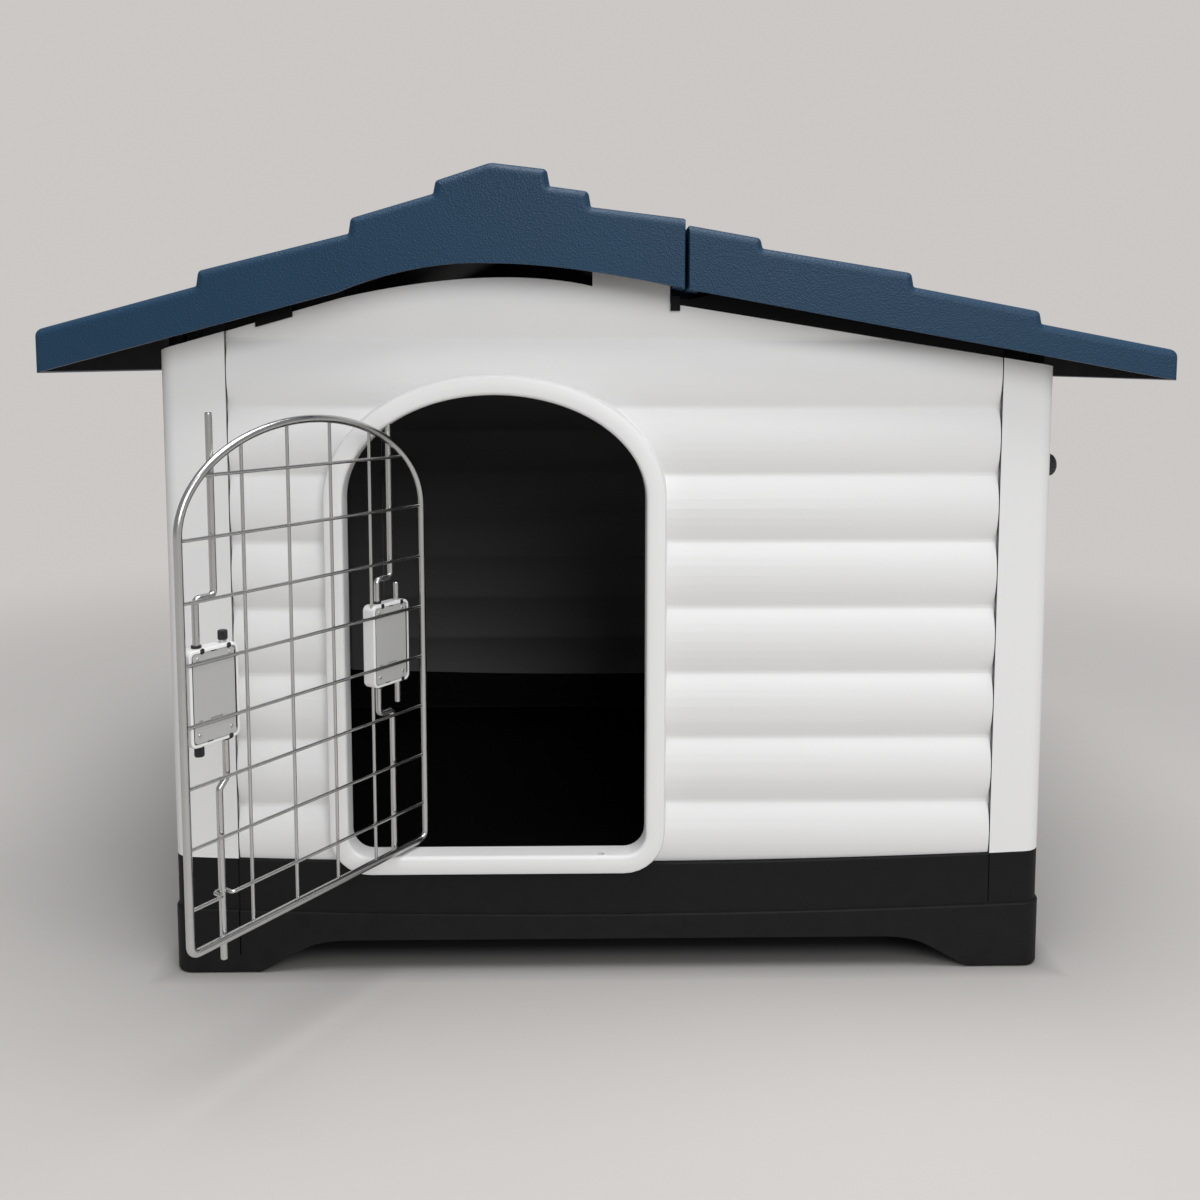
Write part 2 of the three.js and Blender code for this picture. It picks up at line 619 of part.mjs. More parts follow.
// ---- Roof --------------------------------------------------------------------------------------
// One roof panel: the outline between x0 and x1, hollowed from below inside its edge faces.
function roofPanel(top, x0, x1, inner0, inner1) {
  const outline = polygon([...top, [x1, EAVE_HEIGHT - PAST], [x0, EAVE_HEIGHT - PAST]]);
  const hollow = polygon([...ceiling(), [CEILING_CORNER, 0], [-CEILING_CORNER, 0]]);
  const inside = alongY(hollow, ROOF_FRONT + ROOF_SKIN, ROOF_BACK - ROOF_SKIN).intersect(
    block([inner0, inner1], [ROOF_FRONT, ROOF_BACK], [0, SKY]),
  );
  return alongY(outline, ROOF_FRONT, ROOF_BACK)
    .intersect(alongY(fasciaOutline(), ROOF_FRONT - LAP, ROOF_BACK + LAP, 8))
    .subtract(inside);
}

const hingeSpots = [ROOF_FRONT + HINGE_SETBACK, ROOF_BACK - HINGE_SETBACK];

// A round bar along Y on the hatch's axis.
function axial(radius, y0, y1, sides = 12) {
  const bar = new THREE.CylinderGeometry(radius, radius, y1 - y0, sides);
  return solid(bar.translate(SEAM_X, (y0 + y1) / 2, HATCH_AXIS_Z));
}

// Knuckles of one leaf. Each hinge has the main panel's knuckle in front and the flap's behind it.
function knuckleSpan(spot, leaf) {
  const start = spot + leaf * KNUCKLE_LENGTH;
  return [start + GAP / 2, start + KNUCKLE_LENGTH - GAP / 2];
}

const pinSpan = (spot) => [spot - HINGE_PIN_RADIUS, spot + 2 * KNUCKLE_LENGTH + HINGE_PIN_RADIUS];

function withKnuckles(panel, leaf) {
  let made = panel;
  for (const spot of hingeSpots) {
    const [y0, y1] = knuckleSpan(spot, leaf);
    const [other0, other1] = knuckleSpan(spot, 1 - leaf);
    made = made.subtract(axial(KNUCKLE_RADIUS + 2 * GAP, other0 - GAP, other1 + GAP));
    made = made.add(axial(KNUCKLE_RADIUS, y0, y1));
    made = made.subtract(axial(HINGE_PIN_RADIUS + GAP, ...pinSpan(spot).map((y, i) => y + (2 * i - 1) * GAP)));
  }
  return made;
}

const roofMain = () =>
  withKnuckles(
    roofPanel(roofTop(), -ROOF_HALF, SEAM_X - HINGE_GAP / 2, -CEILING_CORNER, SEAM_X - SEAM_RIB), 0);

const roofFlap = () =>
  withKnuckles(
    roofPanel(flapTop(), SEAM_X + HINGE_GAP / 2, ROOF_HALF, SEAM_X + SEAM_RIB, CEILING_CORNER), 1);

// A black rail on top of the front wall, filling the space up to the roof's skin.
function topRail(x0, x1) {
  const y0 = RAIL_INSET;
  const rail = block([x0, x1], [y0, y0 + RAIL_THICKNESS], [EAVE_HEIGHT - PAST, SKY]);
  return rail.subtract(underWallTop(GAP)).subtract(roofSpace());
}

const leftRail = () => topRail(SEAM_LEFT + GAP, VENT_LEFT);

// The right rail carries the flap. Its inner end turns down in a small hook.
function rightRail() {
  const x = GABLE_STEP;
  const hook = block(
    [x + GAP, x + HOOK_WIDTH],
    [-RAIL_INSET, -GAP],
    [WALL_TOP_CENTRE_RIGHT - HOOK_DROP, WALL_TOP_CENTRE_RIGHT + HOOK_DROP],
  );
  const arm = block(
    [x + GAP, x + HOOK_WIDTH],
    [-RAIL_INSET, RAIL_INSET + LAP],
    [WALL_TOP_CENTRE_RIGHT + GAP, WALL_TOP_CENTRE_RIGHT + HOOK_DROP],
  );
  // The flap's rib swings through the rail's upper part as the hatch opens.
  const reach = Math.hypot(SEAM_RIB, HATCH_AXIS_Z - RIB_FOOT) + 2 * GAP;
  const swing = axial(reach, RAIL_INSET - LAP, RAIL_INSET + RAIL_THICKNESS + LAP, 48);
  return topRail(x + GAP, SEAM_RIGHT - GAP).subtract(swing).add(hook).add(arm);
}

// A catch over the wall's top edge that holds the roof's left panel down.
function roofClip() {
  const half = CLIP_WIDTH / 2;
  const slope = (WALL_TOP_CENTRE_LEFT - WALL_TOP_LEFT) / (VENT_LEFT + HALF);
  const edge = (x) => WALL_TOP_LEFT + slope * (x + HALF);
  const face = polygon([
    [CLIP_X - half, edge(CLIP_X - half) - CLIP_DROP],
    [CLIP_X + half, edge(CLIP_X + half) - CLIP_DROP],
    [CLIP_X + half, edge(CLIP_X + half) + CLIP_DROP],
    [CLIP_X - half, edge(CLIP_X - half) + CLIP_DROP],
  ]);
  const lip = alongY(face, -GAP - CLIP_THICKNESS, RAIL_INSET - GAP).subtract(underWallTop(GAP));
  return alongY(face, -GAP - CLIP_THICKNESS, -GAP).add(lip);
}

const atBack = (body) => body.scale([1, -1, 1]).translate([0, BODY_DEPTH, 0]);

// ---- Knobs -------------------------------------------------------------------------------------
// A turn knob in the right wall: domed head, shaft and the cam that locks behind the keeper.
function knob(y) {
  const head = [
    new THREE.Vector2(0, 0),
    new THREE.Vector2(KNOB_RADIUS, 0),
    new THREE.Vector2(KNOB_RADIUS, KNOB_HEIGHT * 0.45),
    new THREE.Vector2(KNOB_RADIUS * 0.87, KNOB_HEIGHT * 0.75),
    new THREE.Vector2(KNOB_RADIUS * 0.5, KNOB_HEIGHT * 0.95),
    new THREE.Vector2(0, KNOB_HEIGHT),
  ];
  const outward = (geometry, x) => solid(geometry.rotateZ(-Math.PI / 2).translate(x, y, KNOB_Z));
  const camX = SEAM_RIGHT + TONGUE - KEEPER_THICKNESS - GAP - CAM_THICKNESS;
  const shaft = HALF + 1 - camX;
  return outward(new THREE.LatheGeometry(head, 20), HALF + GAP)
    .add(outward(new THREE.CylinderGeometry(KNOB_SHAFT, KNOB_SHAFT, shaft, 16), camX + shaft / 2))
    .add(block(
      [camX, camX + CAM_THICKNESS],
      [y - CAM_WIDTH / 2, y + CAM_WIDTH / 2],
      [KNOB_Z - CAM_WIDTH / 2, KNOB_Z + CAM_REACH]));
}

// ---- Door --------------------------------------------------------------------------------------
// The door is drawn closed, in a group whose origin is on the hinge axis: x runs to the free edge,
// y inwards, and the bolts lie on y = 0.
const DOOR_MIDDLE = BOLT_SPACING / 2;
const at = (x, y, z) => new THREE.Vector3(x, y, z);

const doorFrameOutline = {
  centre: DOOR_MIDDLE,
  halfWidth: FRAME_HALF_WIDTH,
  bottom: FRAME_BOTTOM,
  spring: FRAME_SPRING,
  rise: FRAME_RISE,
  corner: FRAME_CORNER,
};

// The frame wire, bent to a loop and butt-welded at the middle of its lower side.
function doorFrame() {
  const loop = doorOutline(doorFrameOutline).getPoints(10);
  const start = loop[0];
  const stations = loop
    .filter((point, i) => i === 0 || point.distanceTo(loop[i - 1]) > 0.01)
    .map((point) => at(point.x, FRAME_PLANE, point.y));
  stations[0].x += GAP;
  stations.push(at(start.x - GAP, FRAME_PLANE, start.y));
  const weld = new THREE.CylinderGeometry(DOOR_FRAME_RADIUS, DOOR_FRAME_RADIUS, FRAME_WELD, 8);
  return wire(stations, DOOR_FRAME_RADIUS).add(
    solid(weld.rotateZ(Math.PI / 2).translate(start.x, FRAME_PLANE, start.y)),
  );
}

// The mesh wires end just inside the frame wire.
const meshInset = DOOR_FRAME_RADIUS + GAP;
const uprightX = (index) => DOOR_MIDDLE + (index - (MESH_UPRIGHTS - 1) / 2) * UPRIGHT_PITCH;

function upright(x) {
  const share = (Math.abs(x - DOOR_MIDDLE) + DOOR_WIRE_RADIUS) / (FRAME_HALF_WIDTH - meshInset);
  const top = FRAME_SPRING + (FRAME_RISE - meshInset) * Math.sqrt(1 - share * share);
  return wire(
    [at(x, UPRIGHT_PLANE, FRAME_BOTTOM + meshInset), at(x, UPRIGHT_PLANE, top)], DOOR_WIRE_RADIUS);
}

function barHalfLength(z) {
  const share = Math.max(0, z + DOOR_WIRE_RADIUS - FRAME_SPRING) / (FRAME_RISE - meshInset);
  return (FRAME_HALF_WIDTH - meshInset) * Math.sqrt(1 - share * share);
}

function bar(z) {
  const half = barHalfLength(z);
  return wire(
    [at(DOOR_MIDDLE - half, FRAME_PLANE, z), at(DOOR_MIDDLE + half, FRAME_PLANE, z)], DOOR_WIRE_RADIUS);
}

// The lowest bar loops round the free side's lower bolt to guide it.
function guideBar(z) {
  const half = barHalfLength(z);
  const clear = BOLT_RADIUS + GAP + DOOR_WIRE_RADIUS;
  const x = BOLT_SPACING;
  const corners = [
    at(DOOR_MIDDLE - half, FRAME_PLANE, z),
    at(x - clear, FRAME_PLANE, z),
    at(x - clear, -clear, z),
    at(x + clear, -clear, z),
    at(x + clear, FRAME_PLANE, z),
    at(DOOR_MIDDLE + half, FRAME_PLANE, z),
  ];
  return wire(bentStations(corners, GUIDE_BEND, 3), DOOR_WIRE_RADIUS, 3);
}

// Each latch has two bolts. Their legs run in the channel on the free edge's side (+1) or on the
// hinge's side (-1). A turned bolt's leg doubles back inside the case, and its tail leaves beside it.
const LATCHES = [
  {
    side: "hinge", x: 0, turned: true, upperLeg: 1, lowerLeg: 1,
    upperCrank: 19, lowerCrank: 24, upperTail: 15, lowerTail: 19, springTurns: 5,
  },
  {
    side: "free", x: BOLT_SPACING, turned: false, upperLeg: 1, lowerLeg: -1,
    upperCrank: 37, lowerCrank: 33, upperTail: 6.5, lowerTail: 6.5, springTurns: 9,
  },
];

const caseMiddle = ({ x }) => x + CASE_SHIFT;
const channelMiddle = ({ x }) => x + CHANNEL_SHIFT;
const channelX = (latch, side) => channelMiddle(latch) + side * CHANNEL_OFFSET;
const turnDepth = CASE_WALL + GAP + BOLT_RADIUS; // of a turned leg inside the case

function collar(x, z) {
  return post(COLLAR_RADIUS, x, 0, z, z + COLLAR_THICKNESS);
}

// A bolt: straight end, crank to its channel, then a leg right through the case or turned inside it.
// lift is +1 for the upper bolt and -1 for the lower one. A short crank leans, which leaves room for
// both of its bends.
function bolt(latch, { end, crank, tail, leg, lift }) {
  const near = lift > 0 ? CASE_TOP : CASE_BOTTOM;
  const far = lift > 0 ? CASE_BOTTOM : CASE_TOP;
  const x = channelX(latch, leg);
  const lean = Math.abs(x - latch.x) < 2.5 * BOLT_BEND ? CRANK_LEAN : 0;
  const corners = [
    at(latch.x, 0, end),
    at(latch.x, 0, near + lift * (crank + lean)),
    at(x, 0, near + lift * (crank - lean)),
  ];
  if (latch.turned) {
    const other = channelX(latch, -leg);
    const turn = near - lift * turnDepth;
    corners.push(at(x, 0, turn), at(other, 0, turn), at(other, 0, near + lift * tail));
    return wire(bentStations(corners, BOLT_BEND), BOLT_RADIUS);
  }
  corners.push(at(x, 0, far - lift * tail));
  const seat = near - lift * (CASE_WALL + GAP + COLLAR_THICKNESS / 2);
  return wire(bentStations(corners, BOLT_BEND), BOLT_RADIUS).add(collar(x, seat - COLLAR_THICKNESS / 2));
}

const upperBolt = (latch) => bolt(latch, {
  end: BOLT_TOP, crank: latch.upperCrank, tail: latch.upperTail, leg: latch.upperLeg, lift: 1,
});

const lowerBolt = (latch) => bolt(latch, {
  end: BOLT_BOTTOM, crank: latch.lowerCrank, tail: latch.lowerTail, leg: latch.lowerLeg, lift: -1,
});

// Room for the bars that cross a latch, sunk into its back.
function barGrooves(latch) {
  const half = CASE_WIDTH / 2 + LAP;
  const reach = DOOR_WIRE_RADIUS + GAP;
  const grooves = [];
  for (let i = 0; i < MESH_BARS; i++) {
    const z = LOWEST_BAR + i * BAR_PITCH;
    if (z - reach < CASE_BOTTOM || z + reach > CASE_TOP) continue;
    grooves.push(block(
      [caseMiddle(latch) - half, caseMiddle(latch) + half],
      [FRAME_PLANE - reach, CASE_BACK + LAP],
      [z - reach, z + reach]));
  }
  return grooves;
}

// The upright that runs through the hinge side's latch, with room round it.
const uprightRoom = () =>
  post(DOOR_WIRE_RADIUS + GAP, uprightX(0), UPRIGHT_PLANE, CASE_BOTTOM - LAP, CASE_TOP + LAP);

const cutAway = (body, cuts) => cuts.reduce((left, cut) => left.subtract(cut), body);

function latchCase(latch) {
  const middle = caseMiddle(latch);
  const half = CASE_WIDTH / 2;
  const cavity = half - CASE_WALL;
  let made = alongY(
    roundedRectangle(middle - half, middle + half, CASE_BOTTOM, CASE_TOP, CASE_CORNER),
    -CASE_FRONT, CASE_BACK, 2);
  made = made.subtract(block(
    [middle - cavity, middle + cavity],
    [CASE_WALL - CASE_FRONT, CASE_BACK + LAP],
    [CASE_BOTTOM + CASE_WALL, CASE_TOP - CASE_WALL]));
  if (latch.turned)
    made = made.add(block(
      [middle - cavity - LAP, middle + cavity + LAP],
      [CASE_WALL - CASE_FRONT - LAP, PLATE_FACE - PLATE_THICKNESS - GAP],
      [CASE_MID - CASE_SHELF / 2, CASE_MID + CASE_SHELF / 2]));
  for (const side of [-1, 1]) {
    const x = channelX(latch, side);
    const ends = latch.turned ? [CASE_BOTTOM + CASE_WALL + LAP, CASE_TOP - CASE_WALL - LAP] : [CASE_MID, CASE_MID];
    made = made
      .subtract(post(BOLT_RADIUS + BOLT_CLEARANCE, x, 0, CASE_BOTTOM - LAP, ends[0]))
      .subtract(post(BOLT_RADIUS + BOLT_CLEARANCE, x, 0, ends[1], CASE_TOP + LAP));
  }
  return cutAway(made, [...barGrooves(latch), uprightRoom()]);
}

// The plate sits inside the case's rim and is hollowed behind where the springs and collars run.
function latchPlate(latch) {
  const middle = caseMiddle(latch);
  const inset = CASE_WALL + GAP;
  const half = CASE_WIDTH / 2 - inset;
  const plate = alongY(
    roundedRectangle(
      middle - half, middle + half, CASE_BOTTOM + inset, CASE_TOP - inset, CASE_CORNER - CASE_WALL),
    PLATE_FACE - PLATE_THICKNESS, PLATE_FACE, 2);
  const hollows = (latch.turned ? [0] : [-1, 1]).map((side) =>
    post(COLLAR_RADIUS + GAP, channelX(latch, side), 0, CASE_BOTTOM, CASE_TOP));
  return cutAway(plate, [...barGrooves(latch), ...hollows, uprightRoom()]);
}

// A compression spring: round a leg from its collar to the far end of the case, or from a turned
// bolt's bend to the shelf.
function boltSpring(latch, upper) {
  const lift = upper ? 1 : -1;
  const near = (upper ? CASE_TOP : CASE_BOTTOM) - lift * (CASE_WALL + GAP);
  const far = (upper ? CASE_BOTTOM : CASE_TOP) + lift * CASE_WALL;
  const room = GAP + SPRING_WIRE;
  const pushed = near - lift * ((latch.turned ? 2 * BOLT_RADIUS : COLLAR_THICKNESS) + room);
  const seated = (latch.turned ? CASE_MID + lift * (CASE_SHELF / 2) : far) + lift * room;
  const x = latch.turned ? channelMiddle(latch) : channelX(latch, upper ? latch.upperLeg : latch.lowerLeg);
  const steps = latch.springTurns * 8;
  const stations = [];
  for (let i = 0; i <= steps; i++) {
    const angle = (2 * Math.PI * latch.springTurns * i) / steps;
    const z = Math.min(seated, pushed) + (Math.abs(pushed - seated) * i) / steps;
    stations.push(at(x + SPRING_RADIUS * Math.cos(angle), SPRING_RADIUS * Math.sin(angle), z));
  }
  return wire(stations, SPRING_WIRE, 2);
}

// A dark cap pushed on a bolt's tail. lift is +1 when the tail points up.
function tailCap(x, tip, lift) {
  const bore = BOLT_RADIUS + GAP;
  const closed = tip + lift * (CAP_LENGTH - CAP_SOCKET);
  const open = tip - lift * CAP_SOCKET;
  const heights = [closed, open].sort((a, b) => a - b);
  const socket = [tip + lift * GAP, open - lift * LAP].sort((a, b) => a - b);
  return post(CAP_RADIUS, x, 0, ...heights).subtract(post(bore, x, 0, ...socket));
}

// A dark guide bushing where a bolt's leg enters the case.
function bushing(latch, upper) {
  const z = upper ? CASE_TOP + GAP : CASE_BOTTOM - GAP - BUSHING_HEIGHT;
  const leg = channelX(latch, upper ? latch.upperLeg : latch.lowerLeg);
  return tube(BOLT_RADIUS + GAP, BUSHING_RADIUS, z, z + BUSHING_HEIGHT, leg, 0);
}

// ---- Assembly ----------------------------------------------------------------------------------
const kennel = new THREE.Group();
kennel.add(
  mesh("base_tray", baseTray(), BLACK_PLASTIC),
  mesh("front_wall", frontWall(), WHITE_PLASTIC),
  mesh("back_wall", backWall(), WHITE_PLASTIC),
  mesh("left_wall", leftWall(), WHITE_PLASTIC),
  mesh("roof_main", roofMain(), BLUE_PLASTIC),
  mesh("front_left_rail", leftRail(), BLACK_PLASTIC),
  mesh("front_right_rail", rightRail(), BLACK_PLASTIC),
  mesh("back_left_rail", atBack(leftRail()), BLACK_PLASTIC),
  mesh("back_right_rail", atBack(rightRail()), BLACK_PLASTIC),
  mesh("front_roof_clip", roofClip(), BLACK_PLASTIC),
  mesh("back_roof_clip", atBack(roofClip()), BLACK_PLASTIC),
);
hingeSpots.forEach((spot, i) => {
  const pin = axial(HINGE_PIN_RADIUS, ...pinSpan(spot));
  kennel.add(mesh(["front", "back"][i] + "_hinge_pin", pin, SPRING_STEEL));
});

const hatch = new THREE.Group();
hatch.add(
  mesh("roof_flap", roofFlap(), BLUE_PLASTIC),
  mesh("right_wall", rightWall(), WHITE_PLASTIC),
  mesh("front_knob", knob(KNOB_INSET), BLACK_PLASTIC),
  mesh("back_knob", knob(BODY_DEPTH - KNOB_INSET), BLACK_PLASTIC),
);
kennel.add(hatch);

const door = new THREE.Group();
door.position.set(boltAxes[0], -BOLT_PROUD, 0);
door.rotation.z = THREE.MathUtils.degToRad(-DOOR_OPEN_ANGLE);
door.add(mesh("door_frame", doorFrame(), GALVANISED));
for (let i = 0; i < MESH_UPRIGHTS; i++)
  door.add(mesh("door_upright_" + (i + 1), upright(uprightX(i)), GALVANISED));
for (let i = 0; i < MESH_BARS; i++) {
  const z = LOWEST_BAR + i * BAR_PITCH;
  door.add(mesh("door_bar_" + (i + 1), i === 0 ? guideBar(z) : bar(z), GALVANISED));
}
for (const latch of LATCHES) {
  const name = latch.side + "_latch_";
  door.add(
    mesh(name + "case", latchCase(latch), WHITE_PLASTIC),
    mesh(name + "plate", latchPlate(latch), GREY_PLATE),
    mesh(latch.side + "_upper_bolt", upperBolt(latch), GALVANISED),
    mesh(latch.side + "_lower_bolt", lowerBolt(latch), GALVANISED),
    mesh(latch.side + "_upper_spring", boltSpring(latch, true), SPRING_STEEL),
    mesh(latch.side + "_lower_spring", boltSpring(latch, false), SPRING_STEEL),
    mesh(latch.side + "_upper_bushing", bushing(latch, true), BLACK_PLASTIC),
    mesh(latch.side + "_lower_bushing", bushing(latch, false), BLACK_PLASTIC),
  );
}
const freeLatch = LATCHES[1];
const upperTip = channelX(freeLatch, freeLatch.upperLeg);
const lowerTip = channelX(freeLatch, freeLatch.lowerLeg);
door.add(
  mesh("free_upper_cap", tailCap(upperTip, CASE_BOTTOM - freeLatch.upperTail, -1), BLACK_PLASTIC),
  mesh("free_lower_cap", tailCap(lowerTip, CASE_TOP + freeLatch.lowerTail, 1), BLACK_PLASTIC),
);
kennel.add(door);

// Centre the footprint on the origin.
const bounds = new THREE.Box3().setFromObject(kennel);
kennel.position.y = -(bounds.min.y + bounds.max.y) / 2;

export default kennel;
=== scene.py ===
"""The finished look of a moulded dog house with a wire door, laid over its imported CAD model.

The log walls, the coursed roof, the footed base, the knobs and the wire door are rebuilt as
detailed meshes in the frame's own metres. The rails, hinge pins, springs and bushings keep their
CAD meshes. Lengths in this file are millimetres in the house's or the door's own frame, and a
piece's place matrix turns them into metres when its mesh is made.
"""

from __future__ import annotations

import logging
import math
from collections.abc import Callable, Iterable, Sequence
from dataclasses import dataclass
from enum import Enum

import bmesh
import bpy
from mathutils import Matrix, Vector
from mathutils.geometry import delaunay_2d_cdt


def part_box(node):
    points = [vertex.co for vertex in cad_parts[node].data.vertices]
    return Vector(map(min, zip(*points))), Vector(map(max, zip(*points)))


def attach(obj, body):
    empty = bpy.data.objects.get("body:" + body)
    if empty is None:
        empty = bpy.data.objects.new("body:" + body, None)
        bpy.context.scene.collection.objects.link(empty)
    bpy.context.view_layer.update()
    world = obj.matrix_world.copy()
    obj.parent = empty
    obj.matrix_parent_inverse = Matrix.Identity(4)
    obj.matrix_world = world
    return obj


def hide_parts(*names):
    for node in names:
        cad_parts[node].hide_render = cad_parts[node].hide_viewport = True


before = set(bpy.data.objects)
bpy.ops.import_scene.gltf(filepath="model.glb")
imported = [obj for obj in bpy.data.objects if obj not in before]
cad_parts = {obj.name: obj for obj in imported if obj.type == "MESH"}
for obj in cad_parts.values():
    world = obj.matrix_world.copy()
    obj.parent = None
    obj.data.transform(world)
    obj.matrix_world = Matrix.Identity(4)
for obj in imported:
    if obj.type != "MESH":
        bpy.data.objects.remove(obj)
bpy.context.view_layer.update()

LOG = logging.getLogger("dog_house")

Point = tuple[float, float, float]
Outline = list[tuple[float, float]]
Rings = list[list[Point]]
Piece = bpy.types.Object
Socket = bpy.types.NodeSocket
Material = bpy.types.Material

FLOAT = "NodeSocketFloat"
VECTOR = "NodeSocketVector"

MM = 0.001
GAP = 0.3
PAST = 50.0
LAP = 1.0


class Body(str, Enum):
    """The moving bodies of the frame that pieces ride on."""

    HOUSE = "house"
    HATCH = "hatch"
    DOOR = "door"
    FRONT_KNOB = "front_turn_knob"
    BACK_KNOB = "back_turn_knob"


class Slot(str, Enum):
    """Names of the material slots."""

    WHITE = "white_plastic"
    BLACK = "black_plastic"
    BLUE = "blue_plastic"
    GREY = "grey_plastic"
    WIRE = "galvanised_wire"
    SPRING = "spring_steel"


# ---- Shape of the house, shared by its sub-assemblies ----


@dataclass(frozen=True)
class HouseShape:
    """Sizes of the body in millimetres: X from its middle, Y from the front wall's face, Z up."""

    half: float = 368.0
    depth: float = 600.0
    wall: float = 5.0
    corner: float = 14.0
    rim: float = 102.0
    rim_dip: float = 9.0
    ridge_x: float = -94.5
    top_left: float = 526.0
    top_right: float = 513.0
    top_centre_left: float = 569.0
    top_centre_right: float = 564.0
    vent_half: float = 121.0
    vent_right: float = 80.0
    vent_rise: float = 18.0
    gable_peak: float = 592.0
    gable_drop: float = 6.0
    gable_step: float = 48.5
    strip_left: float = 55.0
    strip_right: float = 45.0

    @property
    def seam_left(self) -> float:
        """X of the joint between the front wall and the left corner strip."""
        return self.strip_left - self.half

    @property
    def seam_right(self) -> float:
        """X of the joint between the front wall and the right corner strip."""
        return self.half - self.strip_right

    def rim_height(self, x: float) -> float:
        """Height of the base's rim, which sags at mid-span."""
        return self.rim - self.rim_dip * max(0.0, 1 - (x / self.half) ** 2)

    def top_points(self) -> Outline:
        """The top edge of the front and back walls, from right to left.

        Returns:
            Points in X and Z.
        """
        left, right = self.ridge_x - self.vent_half, self.ridge_x + self.vent_right
        start = (right, self.top_centre_left + self.vent_rise / 2)
        pull = (self.ridge_x, self.top_centre_left + 1.5 * self.vent_rise)
        end = (left, self.top_centre_left)
        return [
            (self.half, self.top_right),
            (self.gable_step, self.top_centre_right),
            (self.gable_step, self.gable_peak - self.gable_drop),
            (right, self.gable_peak),
            *bezier([start, pull, end], 18),
            (-self.half, self.top_left),
        ]

    def top_height(self, x: float) -> float:
        """Height of the wall's top edge on the slopes beside the vent.

        Args:
            x: Place across the house.

        Returns:
            The height.
        """
        if x < 0:
            run = (x + self.half) / (self.ridge_x - self.vent_half + self.half)
            return self.top_left + (self.top_centre_left - self.top_left) * min(1.0, run)
        run = (self.half - x) / (self.half - self.gable_step)
        return self.top_right + (self.top_centre_right - self.top_right) * min(1.0, run)


@dataclass(frozen=True)
class Opening:
    """A doorway outline with rounded lower corners and an elliptical head."""

    centre: float = -94.5
    half_width: float = 124.0
    bottom: float = 104.0
    spring: float = 404.0
    rise: float = 86.0
    corner: float = 18.0

    def grown(self, by: float) -> Opening:
        """The same outline, larger on every side by a distance.

        Args:
            by: The distance.

        Returns:
            The larger opening.
        """
        return Opening(
            self.centre, self.half_width + by, self.bottom - by, self.spring, self.rise + by, self.corner + by
        )

    def points(self, corner_steps: int = 8, head_steps: int = 48, jamb_steps: int = 6) -> Outline:
        """The closed outline, anticlockwise from the lower right corner.

        Args:
            corner_steps: Steps round each lower corner.
            head_steps: Steps round the elliptical head.
            jamb_steps: Steps up each straight side.

        Returns:
            Points in X and Z, without a repeated end.
        """
        reach, low = self.half_width - self.corner, self.bottom + self.corner
        turns = [math.pi / 2 * i / corner_steps for i in range(corner_steps + 1)]
        jamb = [low + (self.spring - low) * i / jamb_steps for i in range(1, jamb_steps)]
        head = [math.pi * i / head_steps for i in range(head_steps + 1)]
        made = [(reach + self.corner * math.sin(turn), low - self.corner * math.cos(turn)) for turn in turns]
        made += [(self.half_width, z) for z in jamb]
        made += [
            (self.half_width * math.cos(turn), self.spring + self.rise * math.sin(turn)) for turn in head
        ]
        made += [(-self.half_width, z) for z in reversed(jamb)]
        made += [
            (-reach - self.corner * math.cos(turn), low - self.corner * math.sin(turn)) for turn in turns
        ]
        return [(self.centre + x, z) for x, z in made]


BASE_PROUD = 2.0
HOUSE_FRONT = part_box("base_tray")[0].y / MM + BASE_PROUD
HOUSE_PLACE = Matrix.Scale(MM, 4) @ Matrix.Translation((0, HOUSE_FRONT, 0))
SHAPE = HouseShape()
DOORWAY = Opening()


# ---- Outlines and meshes ----


def bezier(controls: Sequence[tuple[float, float]], steps: int) -> Outline:
    """Points along a Bezier curve of any order.

    Args:
        controls: Its control points.
        steps: How many steps the curve is cut into.

    Returns:
        The points, with both ends.
    """
    made: Outline = []
    for i in range(steps + 1):
        share, level = i / steps, list(controls)
        while len(level) > 1:
            level = [
                (a[0] + (b[0] - a[0]) * share, a[1] + (b[1] - a[1]) * share) for a, b in zip(level, level[1:])
            ]
        made.append(level[0])
    return made


def rounded_line(points: Outline, radii: Sequence[float], steps: int = 5) -> Outline:
    """An open line with its inner corners rounded.

    Args:
        points: The corners.
        radii: The rounding at each point. Both ends' values are not used.
        steps: Steps round each corner.

    Returns:
        The rounded line.
    """
    made = [points[0]]
    for before, corner, after, radius in zip(points, points[1:], points[2:], radii[1:]):
        here = Vector(corner)
        back, ahead = Vector(before) - here, Vector(after) - here
        turn = back.angle(ahead, math.pi)
        reach = min(radius / math.tan(turn / 2), back.length * 0.49, ahead.length * 0.49)
        start = here + back.normalized() * reach
        end = here + ahead.normalized() * reach
        made += bezier([tuple(start), corner, tuple(end)], steps)
    return [*made, points[-1]]


def rounded_rectangle(x0: float, x1: float, y0: float, y1: float, radius: float, steps: int = 6) -> Outline:
    """A rectangle with round corners, anticlockwise.

    Args:
        x0: Left side.
        x1: Right side.
        y0: Low side.
        y1: High side.
        radius: Of the corners.
        steps: Steps round each corner.

    Returns:
        The points.
    """
    made: Outline = []
    centres = [
        (x1 - radius, y0 + radius), (x1 - radius, y1 - radius), (x0 + radius, y1 - radius),
        (x0 + radius, y0 + radius),
    ]
    for quarter, (x, y) in enumerate(centres):
        for i in range(steps + 1):
            angle = math.pi / 2 * (quarter - 1 + i / steps)
            made.append((x + radius * math.cos(angle), y + radius * math.sin(angle)))
    return made


def circle(x: float, y: float, radius: float, sides: int = 24) -> Outline:
    """A circle's points, anticlockwise."""
    angles = [2 * math.pi * i / sides for i in range(sides)]
    return [(x + radius * math.cos(angle), y + radius * math.sin(angle)) for angle in angles]


